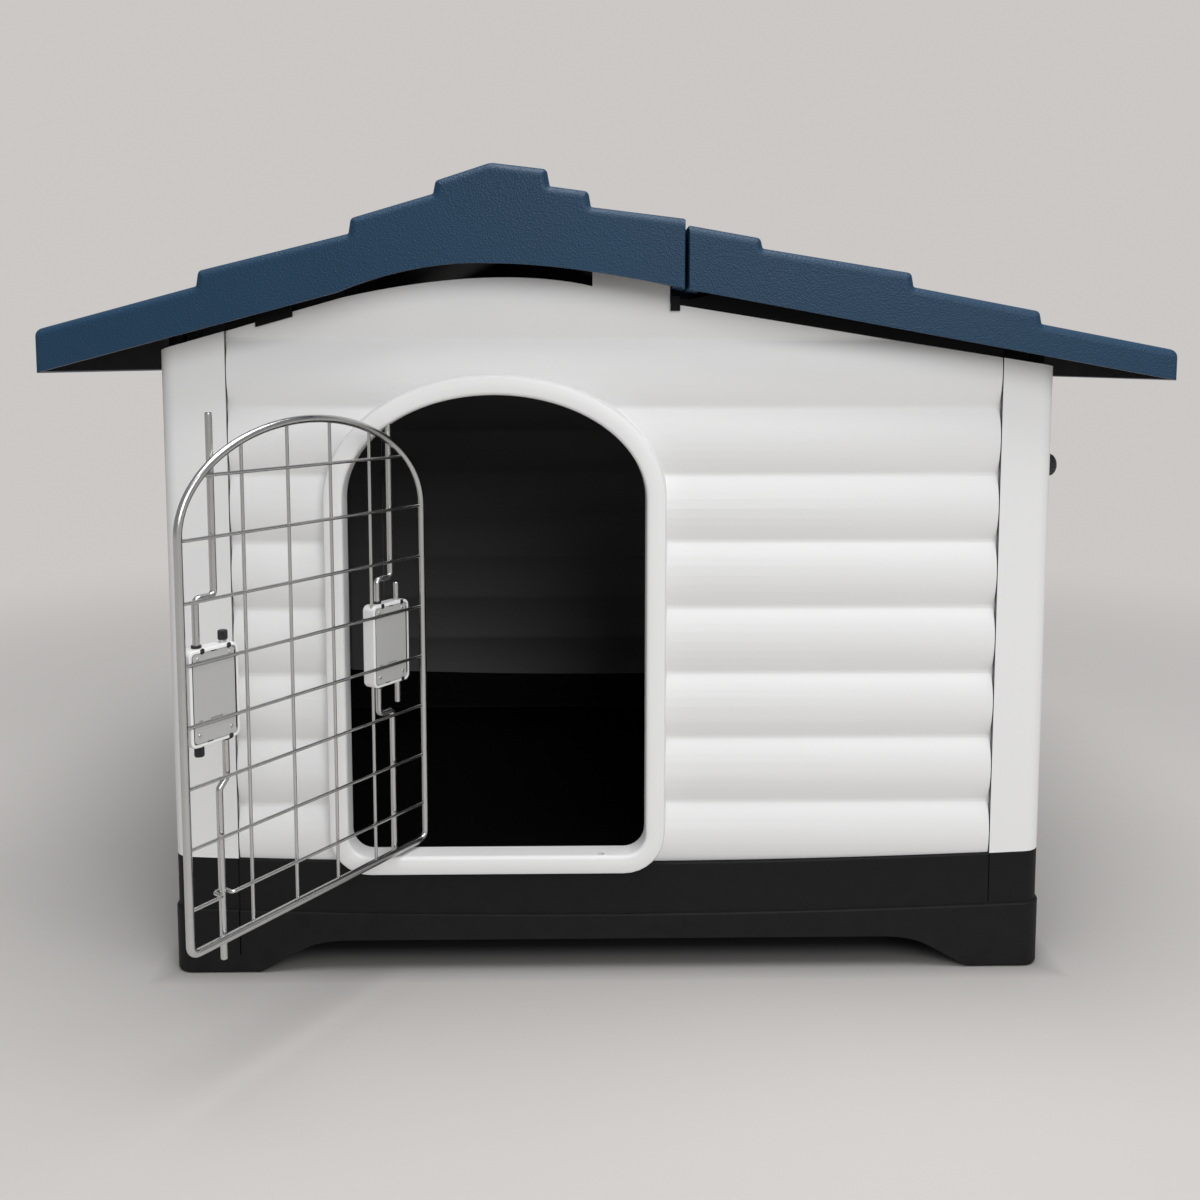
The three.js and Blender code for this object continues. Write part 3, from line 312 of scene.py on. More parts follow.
def upright_ring(outline: Outline, y: float) -> list[Point]:
    """An outline in X and Z, set at one Y."""
    return [(x, y, z) for x, z in outline]


def level_ring(outline: Outline, z: float) -> list[Point]:
    """An outline in X and Y, set at one Z."""
    return [(x, y, z) for x, y in outline]


def linked(name: str, data: bpy.types.ID) -> Piece:
    """A new object in the scene that holds some data.

    Args:
        name: The object's name.
        data: Its mesh, camera or light.

    Returns:
        The object, at the origin.
    """
    made = bpy.data.objects.new(name, data)
    bpy.context.scene.collection.objects.link(made)
    return made


class Maker:
    """Makes closed meshes and joins, cuts and finishes them."""

    @staticmethod
    def mesh_object(
        name: str, points: Sequence[Point], faces: Sequence[Sequence[int]], place: Matrix
    ) -> Piece:
        """A linked object with outward normals.

        Args:
            name: The object's name.
            points: Corners in millimetres.
            faces: Faces as corner numbers.
            place: Turns the points into the frame's metres.

        Returns:
            The new object, at the origin.
        """
        mesh = bpy.data.meshes.new(name)
        mesh.from_pydata([place @ Vector(point) for point in points], [], [list(face) for face in faces])
        work = bmesh.new()
        work.from_mesh(mesh)
        bmesh.ops.remove_doubles(work, verts=work.verts, dist=2e-6)
        bmesh.ops.dissolve_degenerate(work, edges=work.edges, dist=1e-7)
        bmesh.ops.recalc_face_normals(work, faces=work.faces)
        work.to_mesh(mesh)
        work.free()
        return linked(name, mesh)

    @classmethod
    def loft(cls, name: str, rings: Rings, place: Matrix = HOUSE_PLACE, around: bool = False) -> Piece:
        """A body through a row of rings with equal counts, capped at both ends or closed on itself.

        Args:
            name: The object's name.
            rings: The rings, in order.
            place: Turns millimetres into metres.
            around: Whether the last ring joins the first.

        Returns:
            The new object.
        """
        count, size = len(rings), len(rings[0])
        faces: list[Sequence[int]] = []
        for ring in range(count if around else count - 1):
            a, b = ring * size, (ring + 1) % count * size
            faces += [(a + i, a + (i + 1) % size, b + (i + 1) % size, b + i) for i in range(size)]
        if not around:
            faces += [range(size), range((count - 1) * size, count * size)]
        return cls.mesh_object(name, [point for ring in rings for point in ring], faces, place)

    @classmethod
    def prism(cls, outline: Outline, y0: float, y1: float, place: Matrix = HOUSE_PLACE) -> Piece:
        """An outline in X and Z as a plain body from y0 to y1."""
        return cls.loft("prism", [upright_ring(outline, y0), upright_ring(outline, y1)], place)

    @classmethod
    def block(
        cls,
        x: tuple[float, float],
        y: tuple[float, float],
        z: tuple[float, float],
        place: Matrix = HOUSE_PLACE,
    ) -> Piece:
        """A plain box, for cutting and joining."""
        return cls.prism([(x[0], z[0]), (x[1], z[0]), (x[1], z[1]), (x[0], z[1])], y[0], y[1], place)

    @classmethod
    def post(
        cls, x: float, y: float, radius: float, z0: float, z1: float, place: Matrix = HOUSE_PLACE
    ) -> Piece:
        """A round upright bar, for cutting and joining."""
        outline = circle(x, y, radius)
        return cls.loft("post", [level_ring(outline, z0), level_ring(outline, z1)], place)

    @staticmethod
    def bake(piece: Piece) -> None:
        """Turns a piece's modifiers into its plain mesh.

        Args:
            piece: The piece.
        """
        bpy.context.view_layer.update()
        depsgraph = bpy.context.evaluated_depsgraph_get()
        fresh = bpy.data.meshes.new_from_object(
            piece.evaluated_get(depsgraph), preserve_all_data_layers=True, depsgraph=depsgraph
        )
        old = piece.data
        piece.modifiers.clear()
        piece.data = fresh
        bpy.data.meshes.remove(old)

    @classmethod
    def combine(cls, piece: Piece, others: Iterable[Piece], operation: str) -> None:
        """Joins or cuts a piece with others, which are used up.

        Args:
            piece: The piece that changes.
            others: What it is combined with, one after another.
            operation: UNION, DIFFERENCE or INTERSECT.
        """
        for other in others:
            modifier = piece.modifiers.new("combine", "BOOLEAN")
            modifier.operation = operation
            modifier.solver = "MANIFOLD"
            modifier.object = other
            modifier.material_mode = "TRANSFER"
            cls.bake(piece)
            used = other.data
            bpy.data.objects.remove(other)
            bpy.data.meshes.remove(used)

    @classmethod
    def add(cls, piece: Piece, *others: Piece) -> None:
        """Joins others to a piece."""
        cls.combine(piece, others, "UNION")

    @classmethod
    def cut(cls, piece: Piece, *others: Piece) -> None:
        """Cuts others out of a piece."""
        cls.combine(piece, others, "DIFFERENCE")

    @classmethod
    def bevel(cls, piece: Piece, width: float, segments: int = 2, angle: float = 40.0) -> None:
        """Rounds a piece's sharp edges by a width in millimetres.

        Args:
            piece: The piece.
            width: Width of the rounding.
            segments: Faces across it.
            angle: Edges that turn by more degrees are rounded.
        """
        work = bmesh.new()
        work.from_mesh(piece.data)
        bmesh.ops.dissolve_limit(
            work, angle_limit=math.radians(1.0), verts=work.verts, edges=work.edges, delimit={"MATERIAL"}
        )
        work.to_mesh(piece.data)
        work.free()
        modifier = piece.modifiers.new("rounding", "BEVEL")
        modifier.width = width * MM
        modifier.segments = segments
        modifier.limit_method = "ANGLE"
        modifier.angle_limit = math.radians(angle)
        modifier.harden_normals = False
        cls.bake(piece)

    @staticmethod
    def dress(
        piece: Piece,
        body: str,
        slot: Slot,
        material: Material,
        replaces: Sequence[str] = (),
        smooth: float = 38.0,
        flat_faced: bool = False,
    ) -> None:
        """Gives a finished piece its surface and hands it to the frame.

        Args:
            piece: The finished piece.
            body: The body that it rides on.
            slot: The material slot. Not used.
            material: The surface of the piece, or of its faces with no material yet.
            replaces: The CAD nodes that it stands for.
            smooth: Edges sharper than this many degrees stay crisp.
            flat_faced: Whether its large flat faces keep their own normals beside their rounded edges.
        """
        mesh = piece.data
        if not any(mesh.materials):
            mesh.materials.clear()
            mesh.materials.append(material)
        mesh.shade_smooth()
        mesh.set_sharp_from_angle(angle=math.radians(smooth))
        if flat_faced:
            modifier = piece.modifiers.new("flat faces", "WEIGHTED_NORMAL")
            modifier.keep_sharp = True
            Maker.bake(piece)
            mesh = piece.data
        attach(piece, str(getattr(body, "value", body)))
        if replaces:
            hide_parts(*replaces)
        LOG.info("%s: %d faces on %s", piece.name, len(mesh.polygons), getattr(body, "value", body))


# ---- Node trees ----


class Graph:
    """Adds and links the nodes of one node tree."""

    def __init__(self, tree: bpy.types.NodeTree) -> None:
        """Takes the tree to fill."""
        self.tree = tree

    def add(
        self,
        kind: str,
        inputs: dict[str | int, object] | None = None,
        settings: dict[str, object] | None = None,
    ) -> bpy.types.Node:
        """A new node.

        Args:
            kind: The node's type name.
            inputs: Sockets to link or set, by name or number.
            settings: The node's own properties, such as an operation.

        Returns:
            The node.
        """
        node = self.tree.nodes.new(kind)
        for name, value in (settings or {}).items():
            setattr(node, name, value)
        for name, value in (inputs or {}).items():
            if isinstance(value, Socket):
                self.tree.links.new(value, node.inputs[name])
            else:
                node.inputs[name].default_value = value
        return node

    def math(self, operation: str, *values: object) -> Socket:
        """The result of a Math node on two or three values."""
        return self.add("ShaderNodeMath", dict(enumerate(values)), {"operation": operation}).outputs[0]


class Recipe(Graph):
    """A Geometry Nodes tree with named inputs, which makes or changes one piece."""

    def __init__(self, name: str, inputs: dict[str, str]) -> None:
        """Makes the tree and its sockets.

        Args:
            name: The tree's name.
            inputs: Socket types by the input's name.
        """
        super().__init__(bpy.data.node_groups.new(name, "GeometryNodeTree"))
        face = self.tree.interface
        face.new_socket("Path", in_out="INPUT", socket_type="NodeSocketGeometry")
        self.keys = {
            key: face.new_socket(key, in_out="INPUT", socket_type=kind).identifier
            for key, kind in inputs.items()
        }
        self.keys["Material"] = face.new_socket(
            "Material", in_out="INPUT", socket_type="NodeSocketMaterial"
        ).identifier
        face.new_socket("Piece", in_out="OUTPUT", socket_type="NodeSocketGeometry")
        self.given = self.tree.nodes.new("NodeGroupInput").outputs

    def close(self, geometry: Socket) -> None:
        """Ends the tree with Realize Instances and Set Material.

        Args:
            geometry: The tree's result.
        """
        real = self.add("GeometryNodeRealizeInstances", {0: geometry})
        dressed = self.add(
            "GeometryNodeSetMaterial", {"Geometry": real.outputs[0], "Material": self.given["Material"]}
        )
        self.add("NodeGroupOutput", {0: dressed.outputs[0]})

    def apply(self, piece: Piece, material: Material, **values: object) -> Piece:
        """Runs the tree on a piece and keeps the result as its plain mesh.

        Args:
            piece: Holds the points or the mesh that the tree starts from.
            material: The surface of the result.
            **values: The tree's inputs, with _ for a space.

        Returns:
            The same piece.
        """
        modifier = piece.modifiers.new(self.tree.name, "NODES")
        modifier.node_group = self.tree
        modifier[self.keys["Material"]] = material
        for name, value in values.items():
            modifier[self.keys[name.replace("_", " ")]] = value
        Maker.bake(piece)
        return piece


class Recipes:
    """The Geometry Nodes trees that the sub-assemblies share."""

    def __init__(self) -> None:
        """Builds every tree once."""
        self.wire = self.wire_tree()
        self.ribbed = self.ribbed_tree()
        self.studs = self.studs_tree()
        self.logs = self.logs_tree()

    @staticmethod
    def sweep(made: Recipe, curve: Socket, section: Socket) -> None:
        """Ends a tree with a section swept along a curve, thinned by the path's own thickness.

        Args:
            made: The tree.
            curve: What the section follows.
            section: The closed section.
        """
        thin = made.add(
            "GeometryNodeInputNamedAttribute", {"Name": "thickness"}, {"data_type": "FLOAT"}
        ).outputs[0]
        sized = made.add("GeometryNodeSetCurveRadius", {"Curve": curve, "Radius": thin})
        swept = made.add(
            "GeometryNodeCurveToMesh", {
                "Curve": sized.outputs[0], "Profile Curve": section, "Fill Caps": True
            }
        )
        if "Scale" in swept.inputs:
            made.tree.links.new(thin, swept.inputs["Scale"])
        made.close(swept.outputs[0])

    @classmethod
    def wire_tree(cls) -> Recipe:
        """A round wire along a path, its bends rounded, its ends slightly drawn in.

        Returns:
            The tree.
        """
        made = Recipe("bent wire", {"Radius": FLOAT, "Bend": FLOAT, "Sides": "NodeSocketInt"})
        curve = made.add("GeometryNodeMeshToCurve", {0: made.given["Path"]})
        bent = made.add(
            "GeometryNodeFilletCurve",
            {"Curve": curve.outputs[0], "Radius": made.given["Bend"], "Count": 8, "Limit Radius": True},
            {"mode": "POLY"},
        )
        section = made.add(
            "GeometryNodeCurvePrimitiveCircle", {
                "Resolution": made.given["Sides"], "Radius": made.given["Radius"]
            }
        )
        cls.sweep(made, bent.outputs[0], section.outputs[0])
        return made

    @classmethod
    def ribbed_tree(cls) -> Recipe:
        """A fluted rod along a path, for the bolts' caps.

        Returns:
            The tree.
        """
        made = Recipe("fluted rod", {"Radius": FLOAT, "Depth": FLOAT, "Ribs": "NodeSocketInt"})
        curve = made.add("GeometryNodeMeshToCurve", {0: made.given["Path"]})
        inner = made.math("SUBTRACT", made.given["Radius"], made.given["Depth"])
        section = made.add(
            "GeometryNodeCurveStar",
            {"Points": made.given["Ribs"], "Inner Radius": inner, "Outer Radius": made.given["Radius"]},
        )
        cls.sweep(made, curve.outputs[0], section.outputs[0])
        return made

    @staticmethod
    def studs_tree() -> Recipe:
        """A domed screw head on each point, facing along the point's own direction.

        Returns:
            The tree.
        """
        made = Recipe("screw heads", {"Radius": FLOAT, "Height": FLOAT})
        crown = made.math("MULTIPLY", made.given["Radius"], 0.72)
        head = made.add(
            "GeometryNodeMeshCone",
            {
                "Vertices": 14,
                "Side Segments": 1,
                "Radius Bottom": made.given["Radius"],
                "Radius Top": crown,
                "Depth": made.given["Height"],
            },
        )
        facing = made.add(
            "GeometryNodeInputNamedAttribute", {"Name": "facing"}, {"data_type": "FLOAT_VECTOR"}
        )
        turned = made.add("FunctionNodeAlignRotationToVector", {"Vector": facing.outputs[0]}, {"axis": "Z"})
        placed = made.add(
            "GeometryNodeInstanceOnPoints",
            {"Points": made.given["Path"], "Instance": head.outputs[0], "Rotation": turned.outputs[0]},
        )
        made.close(placed.outputs[0])
        return made

    @staticmethod
    def logs_tree() -> Recipe:
        """Presses the log pattern into a flat wall.

        A point moves inwards by a parabola of its height within its log, rounded in the groove,
        times the point's own log_weight.

        Returns:
            The tree.
        """
        made = Recipe(
            "log pattern",
            {
                "Inward": VECTOR,
                "Pitch": FLOAT,
                "Relief": FLOAT,
                "Top Groove": FLOAT,
                "Groove": FLOAT,
            },
        )
        calc = made.math
        place = made.add("GeometryNodeInputPosition")
        height = made.add("ShaderNodeSeparateXYZ", {0: place.outputs[0]}).outputs["Z"]
        pitch, relief, groove = made.given["Pitch"], made.given["Relief"], made.given["Groove"]
        log = calc("DIVIDE", calc("SUBTRACT", made.given["Top Groove"], height), pitch)
        across = calc("ABSOLUTE", calc("SUBTRACT", calc("MULTIPLY", calc("FRACT", log), 2.0), 1.0))
        crown = calc("MULTIPLY", relief, calc("MULTIPLY", across, across))
        from_groove = calc("MULTIPLY", calc("SUBTRACT", 1.0, across), calc("MULTIPLY", pitch, 0.5))
        share = calc("DIVIDE", from_groove, groove)
        edge = calc("SUBTRACT", 1.0, calc("DIVIDE", calc("MULTIPLY", groove, 2.0), pitch))
        at_edge = calc("MULTIPLY", relief, calc("MULTIPLY", edge, edge))
        slope = calc(
            "DIVIDE", calc("MULTIPLY", calc("MULTIPLY", relief, 2.0), calc("MULTIPLY", edge, groove)), pitch
        )
        hollow = calc(
            "ADD", at_edge, calc("MULTIPLY", slope, calc("SUBTRACT", 1.0, calc("MULTIPLY", share, share)))
        )
        depth = calc("MINIMUM", crown, calc("MAXIMUM", hollow, at_edge))
        weight = made.add("GeometryNodeInputNamedAttribute", {"Name": "log_weight"}, {"data_type": "FLOAT"})
        moved = made.add(
            "ShaderNodeVectorMath",
            {0: made.given["Inward"], "Scale": calc("MULTIPLY", depth, weight.outputs[0])},
            {"operation": "SCALE"},
        )
        pressed = made.add(
            "GeometryNodeSetPosition", {"Geometry": made.given["Path"], "Offset": moved.outputs[0]}
        )
        made.close(pressed.outputs[0])
        return made


def path_object(
    name: str, points: Sequence[Point], place: Matrix, closed: bool = False, tip: float = 0.0
) -> Piece:
    """An object that holds a path for a recipe.

    Args:
        name: The object's name.
        points: The path's corners in millimetres.
        place: Turns them into metres.
        closed: Whether the path returns to its start.
        tip: How far from each end the rod starts to thin, or 0 for square ends.

    Returns:
        The object, with a thickness attribute on its points.
    """
    stations = [Vector(point) for point in points]
    thickness = [1.0] * len(stations)
    if tip:
        for end, inner in ((0, 1), (-1, -2)):
            step = (stations[inner] - stations[end]).normalized()
            near = [stations[end] + step * tip * share for share in (0.35, 1.0)]
            if end == 0:
                stations[1:1] = near
                thickness[0:1] = [0.72, 0.92, 1.0]
            else:
                stations[-1:] = [*reversed(near), stations[-1]]
                thickness[-1:] = [1.0, 0.92, 0.72]
    count = len(stations)
    mesh = bpy.data.meshes.new(name)
    edges = [(i, i + 1) for i in range(count - 1)] + ([(count - 1, 0)] if closed else [])
    mesh.from_pydata([place @ station for station in stations], edges, [])
    values = mesh.attributes.new("thickness", "FLOAT", "POINT")
    values.data.foreach_set("value", thickness)
    return linked(name, mesh)


# ---- Surfaces ----


class Grain(Enum):
    """How a moulded or drawn surface feels."""

    SATIN = (2600.0, 0.0, 0.00004)
    LEATHER = (760.0, 0.75, 0.0005)
    FINE = (1300.0, 0.35, 0.00009)
    ZINC = (1500.0, 0.25, 0.00005)

    def __init__(self, cells: float, leather: float, depth: float) -> None:
        """Takes the cells per metre, the share of leather in the grain, and its depth in metres.

        Args:
            cells: Cells to a metre.
            leather: The share of leather in the grain.
            depth: Its depth in metres.
        """
        self.cells = cells
        self.leather = leather
        self.depth = depth


class SurfaceEffects:
    """The shader node groups that several finishes share."""

    def __init__(self) -> None:
        """Builds both groups once."""
        self.grain = self.grain_group()
        self.tone = self.tone_group()

    @staticmethod
    def group(name: str, inputs: dict[str, str], outputs: dict[str, str]) -> tuple[Graph, object]:
        """An empty shader group.

        Args:
            name: The group's name.
            inputs: Input socket types by name.
            outputs: Output socket types by name.

        Returns:
            The graph to fill, and the group's input sockets.
        """
        tree = bpy.data.node_groups.new(name, "ShaderNodeTree")
        for direction, sockets in (("INPUT", inputs), ("OUTPUT", outputs)):
            for key, kind in sockets.items():
                tree.interface.new_socket(key, in_out=direction, socket_type=kind)
        return Graph(tree), tree.nodes.new("NodeGroupInput").outputs

    @classmethod
    def grain_group(cls) -> bpy.types.NodeTree:
        """Moulded grain: fine noise, mixed with the cells of a leather texture.

        Returns:
            The group.
        """
        graph, given = cls.group(
            "moulded grain",
            {"Vector": VECTOR, "Cells": FLOAT, "Leather": FLOAT},
            {"Height": FLOAT},
        )
        fine = graph.add(
            "ShaderNodeTexNoise", {"Vector": given["Vector"], "Scale": given["Cells"], "Detail": 3.0}
        )
        cells = graph.add(
            "ShaderNodeTexVoronoi",
            {"Vector": given["Vector"], "Scale": given["Cells"], "Randomness": 0.9},
            {"feature": "SMOOTH_F1"},
        )
        mixed = graph.add(
            "ShaderNodeMix", {
                "Factor": given["Leather"], "A": fine.outputs[0], "B": cells.outputs["Distance"]
            }
        )
        graph.add("NodeGroupOutput", {"Height": mixed.outputs[0]})
        return graph.tree

    @classmethod
    def tone_group(cls) -> bpy.types.NodeTree:
        """Uneven tone and gloss in soft patches, with dust that settles towards the ground.

        Returns:
            The group.
        """
        graph, given = cls.group(
            "uneven tone",
            {
                "Vector": VECTOR,
                "Color": "NodeSocketColor",
                "Gloss": FLOAT,
                "Patch": FLOAT,
                "Variation": FLOAT,
                "Dust": FLOAT,
            },
            {"Color": "NodeSocketColor", "Roughness": FLOAT},
        )
        patch = graph.add(
            "ShaderNodeTexNoise", {"Vector": given["Vector"], "Scale": given["Patch"], "Detail": 4.0}
        )
        swing = graph.math("MULTIPLY", graph.math("SUBTRACT", patch.outputs[0], 0.5), given["Variation"])
        toned = graph.add(
            "ShaderNodeHueSaturation", {"Value": graph.math("ADD", swing, 1.0), "Color": given["Color"]}
        )
        height = graph.add("ShaderNodeSeparateXYZ", {0: given["Vector"]}).outputs["Z"]
        low = graph.add("ShaderNodeMapRange", {"Value": height, "From Min": 0.12, "From Max": 0.0})
        speck = graph.add("ShaderNodeTexNoise", {"Vector": given["Vector"], "Scale": 90.0, "Detail": 6.0})
        settled = graph.math(
            "MULTIPLY", graph.math("MULTIPLY", low.outputs[0], speck.outputs[0]), given["Dust"]
        )
        dusty = graph.add(
            "ShaderNodeMix",
            {"Factor": settled, "A": toned.outputs[0], "B": (0.32, 0.30, 0.28, 1.0)},
            {"data_type": "RGBA"},
        )
        rough = graph.math(
            "ADD", given["Gloss"], graph.math("ADD", swing, graph.math("MULTIPLY", settled, 0.6))
        )
        graph.add("NodeGroupOutput", {"Color": dusty.outputs[2], "Roughness": rough})
        return graph.tree


@dataclass(frozen=True)
class Finish:
    """One surface: its colour, gloss and grain."""

    name: str
    color: tuple[float, float, float]
    gloss: float
    grain: Grain
    metallic: float = 0.0
    coat: float = 0.0
    specular: float = 0.5
    variation: float = 0.05
    patch: float = 9.0
    dust: float = 0.0

    def material(self, effects: SurfaceEffects) -> Material:
        """Builds the node material.

        Args:
            effects: The shared shader groups.

        Returns:
            The material.
        """
        made = bpy.data.materials.new(self.name)
        made.use_nodes = True
        graph = Graph(made.node_tree)
        shader = made.node_tree.nodes["Principled BSDF"]
        place = graph.add("ShaderNodeTexCoord").outputs["Object"]
        tone = graph.tree.nodes.new("ShaderNodeGroup")
        tone.node_tree = effects.tone
        values = {
            "Color": (*self.color, 1.0),
            "Gloss": self.gloss,
            "Patch": self.patch,
            "Variation": self.variation,
            "Dust": self.dust,
        }
        for key, value in values.items():
            tone.inputs[key].default_value = value
        grain = graph.tree.nodes.new("ShaderNodeGroup")
        grain.node_tree = effects.grain
        grain.inputs["Cells"].default_value = self.grain.cells
        grain.inputs["Leather"].default_value = self.grain.leather
        for node in (tone, grain):
            graph.tree.links.new(place, node.inputs["Vector"])
        bump = graph.add(
            "ShaderNodeBump", {"Strength": 1.0, "Distance": self.grain.depth, "Height": grain.outputs[0]}
        )
        graph.tree.links.new(tone.outputs["Color"], shader.inputs["Base Color"])
        graph.tree.links.new(tone.outputs["Roughness"], shader.inputs["Roughness"])
        graph.tree.links.new(bump.outputs[0], shader.inputs["Normal"])
        shader.inputs["Metallic"].default_value = self.metallic
        shader.inputs["Coat Weight"].default_value = self.coat
        shader.inputs["Specular IOR Level"].default_value = self.specular
        return made


WALL_WHITE = Finish("wall white", (0.80, 0.80, 0.80), 0.42, Grain.SATIN, specular=0.35, variation=0.03)
# Painted shade: dark grey for the walls' inside faces, standing in for the shade inside the house.
INSIDE_PAINTED_SHADE = Finish("inner charcoal", (0.17, 0.17, 0.17), 0.6, Grain.FINE, specular=0.2, variation=0.2)
BASE_BLACK = Finish(
    "base black", (0.0072, 0.0076, 0.0082), 0.55, Grain.FINE, specular=0.14, variation=0.25, dust=0.03
)
# Black for the roof clips and rails, and also painted black shade in the walls' gaps, inside the base, under
# the roof panels and in the latches' gaps.
TRIM_AND_SHADE_BLACK = Finish("trim black", (0.004, 0.004, 0.0045), 0.5, Grain.FINE, specular=0.12, variation=0.2)
CAP_BLACK = Finish("cap black", (0.012, 0.012, 0.013), 0.42, Grain.FINE, variation=0.2)
ROOF_BLUE = Finish(
    "roof blue", (0.0105, 0.041, 0.084), 0.46, Grain.LEATHER, specular=0.26, variation=0.16, patch=14.0
)
ZINC_WIRE = Finish(
    "zinc wire", (0.56, 0.56, 0.555), 0.24, Grain.ZINC, metallic=1.0, variation=0.16, patch=60.0
)
CASE_WHITE = Finish("case white", (0.80, 0.80, 0.80), 0.3, Grain.SATIN, variation=0.03)
PLATE_GREY = Finish("plate grey", (0.44, 0.44, 0.435), 0.42, Grain.FINE, variation=0.05)
BRIGHT_STEEL = Finish(
    "bright steel", (0.5, 0.5, 0.51), 0.28, Grain.ZINC, metallic=1.0, variation=0.1, patch=40.0
)


class Kit:
    """The recipes and the materials that the sub-assemblies share."""

    def __init__(self) -> None:
        """Builds every recipe and material once."""
        self.recipes = Recipes()
        effects = SurfaceEffects()
        self.wall = WALL_WHITE.material(effects)
        # Painted shade for the walls' inside faces.
        self.inside = INSIDE_PAINTED_SHADE.material(effects)
        self.base = BASE_BLACK.material(effects)
        # Black for clips and rails, also used as painted black shade.
        self.trim = TRIM_AND_SHADE_BLACK.material(effects)
        self.cap = CAP_BLACK.material(effects)
        self.roof = ROOF_BLUE.material(effects)
        self.wire = ZINC_WIRE.material(effects)
        self.case = CASE_WHITE.material(effects)
        self.plate = PLATE_GREY.material(effects)
        self.steel = BRIGHT_STEEL.material(effects)


# ---- Walls ----


@dataclass(frozen=True)
class LogPattern:
    """The rounded logs pressed into the four walls."""

    pitch: float = 55.8
    relief: float = 6.0
    top_groove: float = 535.5
    groove: float = 2.6
    logs: int = 10

    def rows(self) -> list[float]:
        """Heights at which a wall is divided, closest together beside the grooves.

        Returns:
            The heights, rising.
        """
        shares = (
            0.0, 0.015, 0.03, 0.05, 0.09, 0.15, 0.24, 0.36, 0.5, 0.64, 0.76, 0.85, 0.91, 0.95, 0.97, 0.985
        )
        top = self.top_groove + self.pitch
        return sorted(top - (log + share) * self.pitch for log in range(self.logs) for share in shares)

    def press(self, piece: Piece, kit: Kit, inward: Vector) -> None:
        """Presses the pattern into a flat wall with the log recipe.

        Args:
            piece: The flat wall.
            kit: The recipes and materials.
            inward: Which way the logs are pressed.
        """
        kit.recipes.logs.apply(
            piece,
            kit.wall,
            Inward=inward,
            Pitch=self.pitch * MM,
            Relief=self.relief * MM,
            Top_Groove=self.top_groove * MM,
            Groove=self.groove * MM,
        )


def even_odd(loops: Sequence[Outline], x: float, z: float) -> bool:
    """Whether a point lies inside the loops, counting a hole as outside.

    Args:
        loops: The outline and its holes.
        x: The point's X.
        z: The point's Z.

    Returns:
        Whether it is inside.
    """
    inside = False
    for loop in loops:
        for (x0, z0), (x1, z1) in zip(loop, loop[1:] + loop[:1]):
            if (z0 > z) != (z1 > z) and x < x0 + (z - z0) / (z1 - z0) * (x1 - x0):
                inside = not inside
    return inside


def crossed(loop: Outline, rows: Sequence[float]) -> Outline:
    """A closed loop with a corner wherever a row of heights crosses it.

    Args:
        loop: The loop.
        rows: The heights.

    Returns:
        The loop with its new corners.
    """
    made: Outline = []
    for (x0, z0), (x1, z1) in zip(loop, loop[1:] + loop[:1]):
        made.append((x0, z0))
        low, high = min(z0, z1), max(z0, z1)
        between = [z for z in rows if low + 1e-4 < z < high - 1e-4]
        made += [
            (x0 + (z - z0) / (z1 - z0) * (x1 - x0), z) for z in (between if z1 > z0 else reversed(between))
        ]
    return made


def ruled_sheet(
    name: str, loops: Sequence[Outline], rows: Sequence[float], thickness: float, place: Matrix
) -> Piece:
    """A flat wall cut from an outline with holes, divided along rows of heights.

    Args:
        name: The object's name.
        loops: The outline and its holes, in X and Z.
        rows: The heights.
        thickness: From the face on Y = 0 to the back.
        place: Turns millimetres into metres.

    Returns:
        The closed wall.
    """
    cut = [crossed(loop, rows) for loop in loops]
    points: list[Vector] = []
    edges: list[tuple[int, int]] = []
    by_row: dict[float, list[int]] = {}
    for loop in cut:
        start = len(points)
        for i, (x, z) in enumerate(loop):
            points.append(Vector((x, z)))
            edges.append((start + i, start + (i + 1) % len(loop)))
            by_row.setdefault(round(z, 4), []).append(start + i)
    for z in rows:
        ends = sorted(by_row.get(round(z, 4), []), key=lambda index: points[index].x)
        for a, b in zip(ends, ends[1:]):
            if even_odd(cut, (points[a].x + points[b].x) / 2, z + 1e-5):
                edges.append((a, b))
    flat, _, triangles, *_ = delaunay_2d_cdt(points, edges, [], 0, 1e-6)
    kept = [face for face in triangles if even_odd(cut, *(sum((flat[i] for i in face), Vector((0, 0))) / 3))]
    count = len(flat)
    corners = [(x, y, z) for y in (0.0, thickness) for x, z in flat]
    faces = [tuple(face) for face in kept] + [tuple(i + count for i in reversed(face)) for face in kept]
    sides = {(a, b) for face in kept for a, b in zip(face, (*face[1:], face[0]))}
    faces += [(b, a, a + count, b + count) for a, b in sides if (b, a) not in sides]
    return Maker.mesh_object(name, corners, faces, place)


def weigh(piece: Piece, weight: Sequence[float] | float) -> None:
    """Sets how strongly the log pattern presses each corner of a piece.

    Args:
        piece: The wall.
        weight: One weight for every corner, or one for each.
    """
    values = piece.data.attributes.new("log_weight", "FLOAT", "POINT")
    count = len(piece.data.vertices)
    values.data.foreach_set("value", [weight] * count if isinstance(weight, float) else list(weight))


class Lining(Enum):
    """How a face of a wall is coloured: its own white, painted dark grey shade inside, or painted black shade
    in a gap.
    """

    OUTER = 0
    INNER = 1
    GAP = 2


def line_wall(piece: Piece, kit: Kit, sort: Callable[[Vector, Vector], Lining]) -> None:
    """Paints shade on some faces of a wall: dark grey on those inside the house, and black on those deep in
    its gaps.

    Args:
        piece: The wall.
        kit: The recipes and materials.
        sort: Tells from a face's middle, in the house's millimetres, and its normal what it shows.
    """
    mesh = piece.data
    mesh.materials.clear()
    for material in (kit.wall, kit.inside, kit.trim):
        mesh.materials.append(material)
    back = HOUSE_PLACE.inverted()
    for face in mesh.polygons:
        face.material_index = sort(back @ face.center, face.normal).value


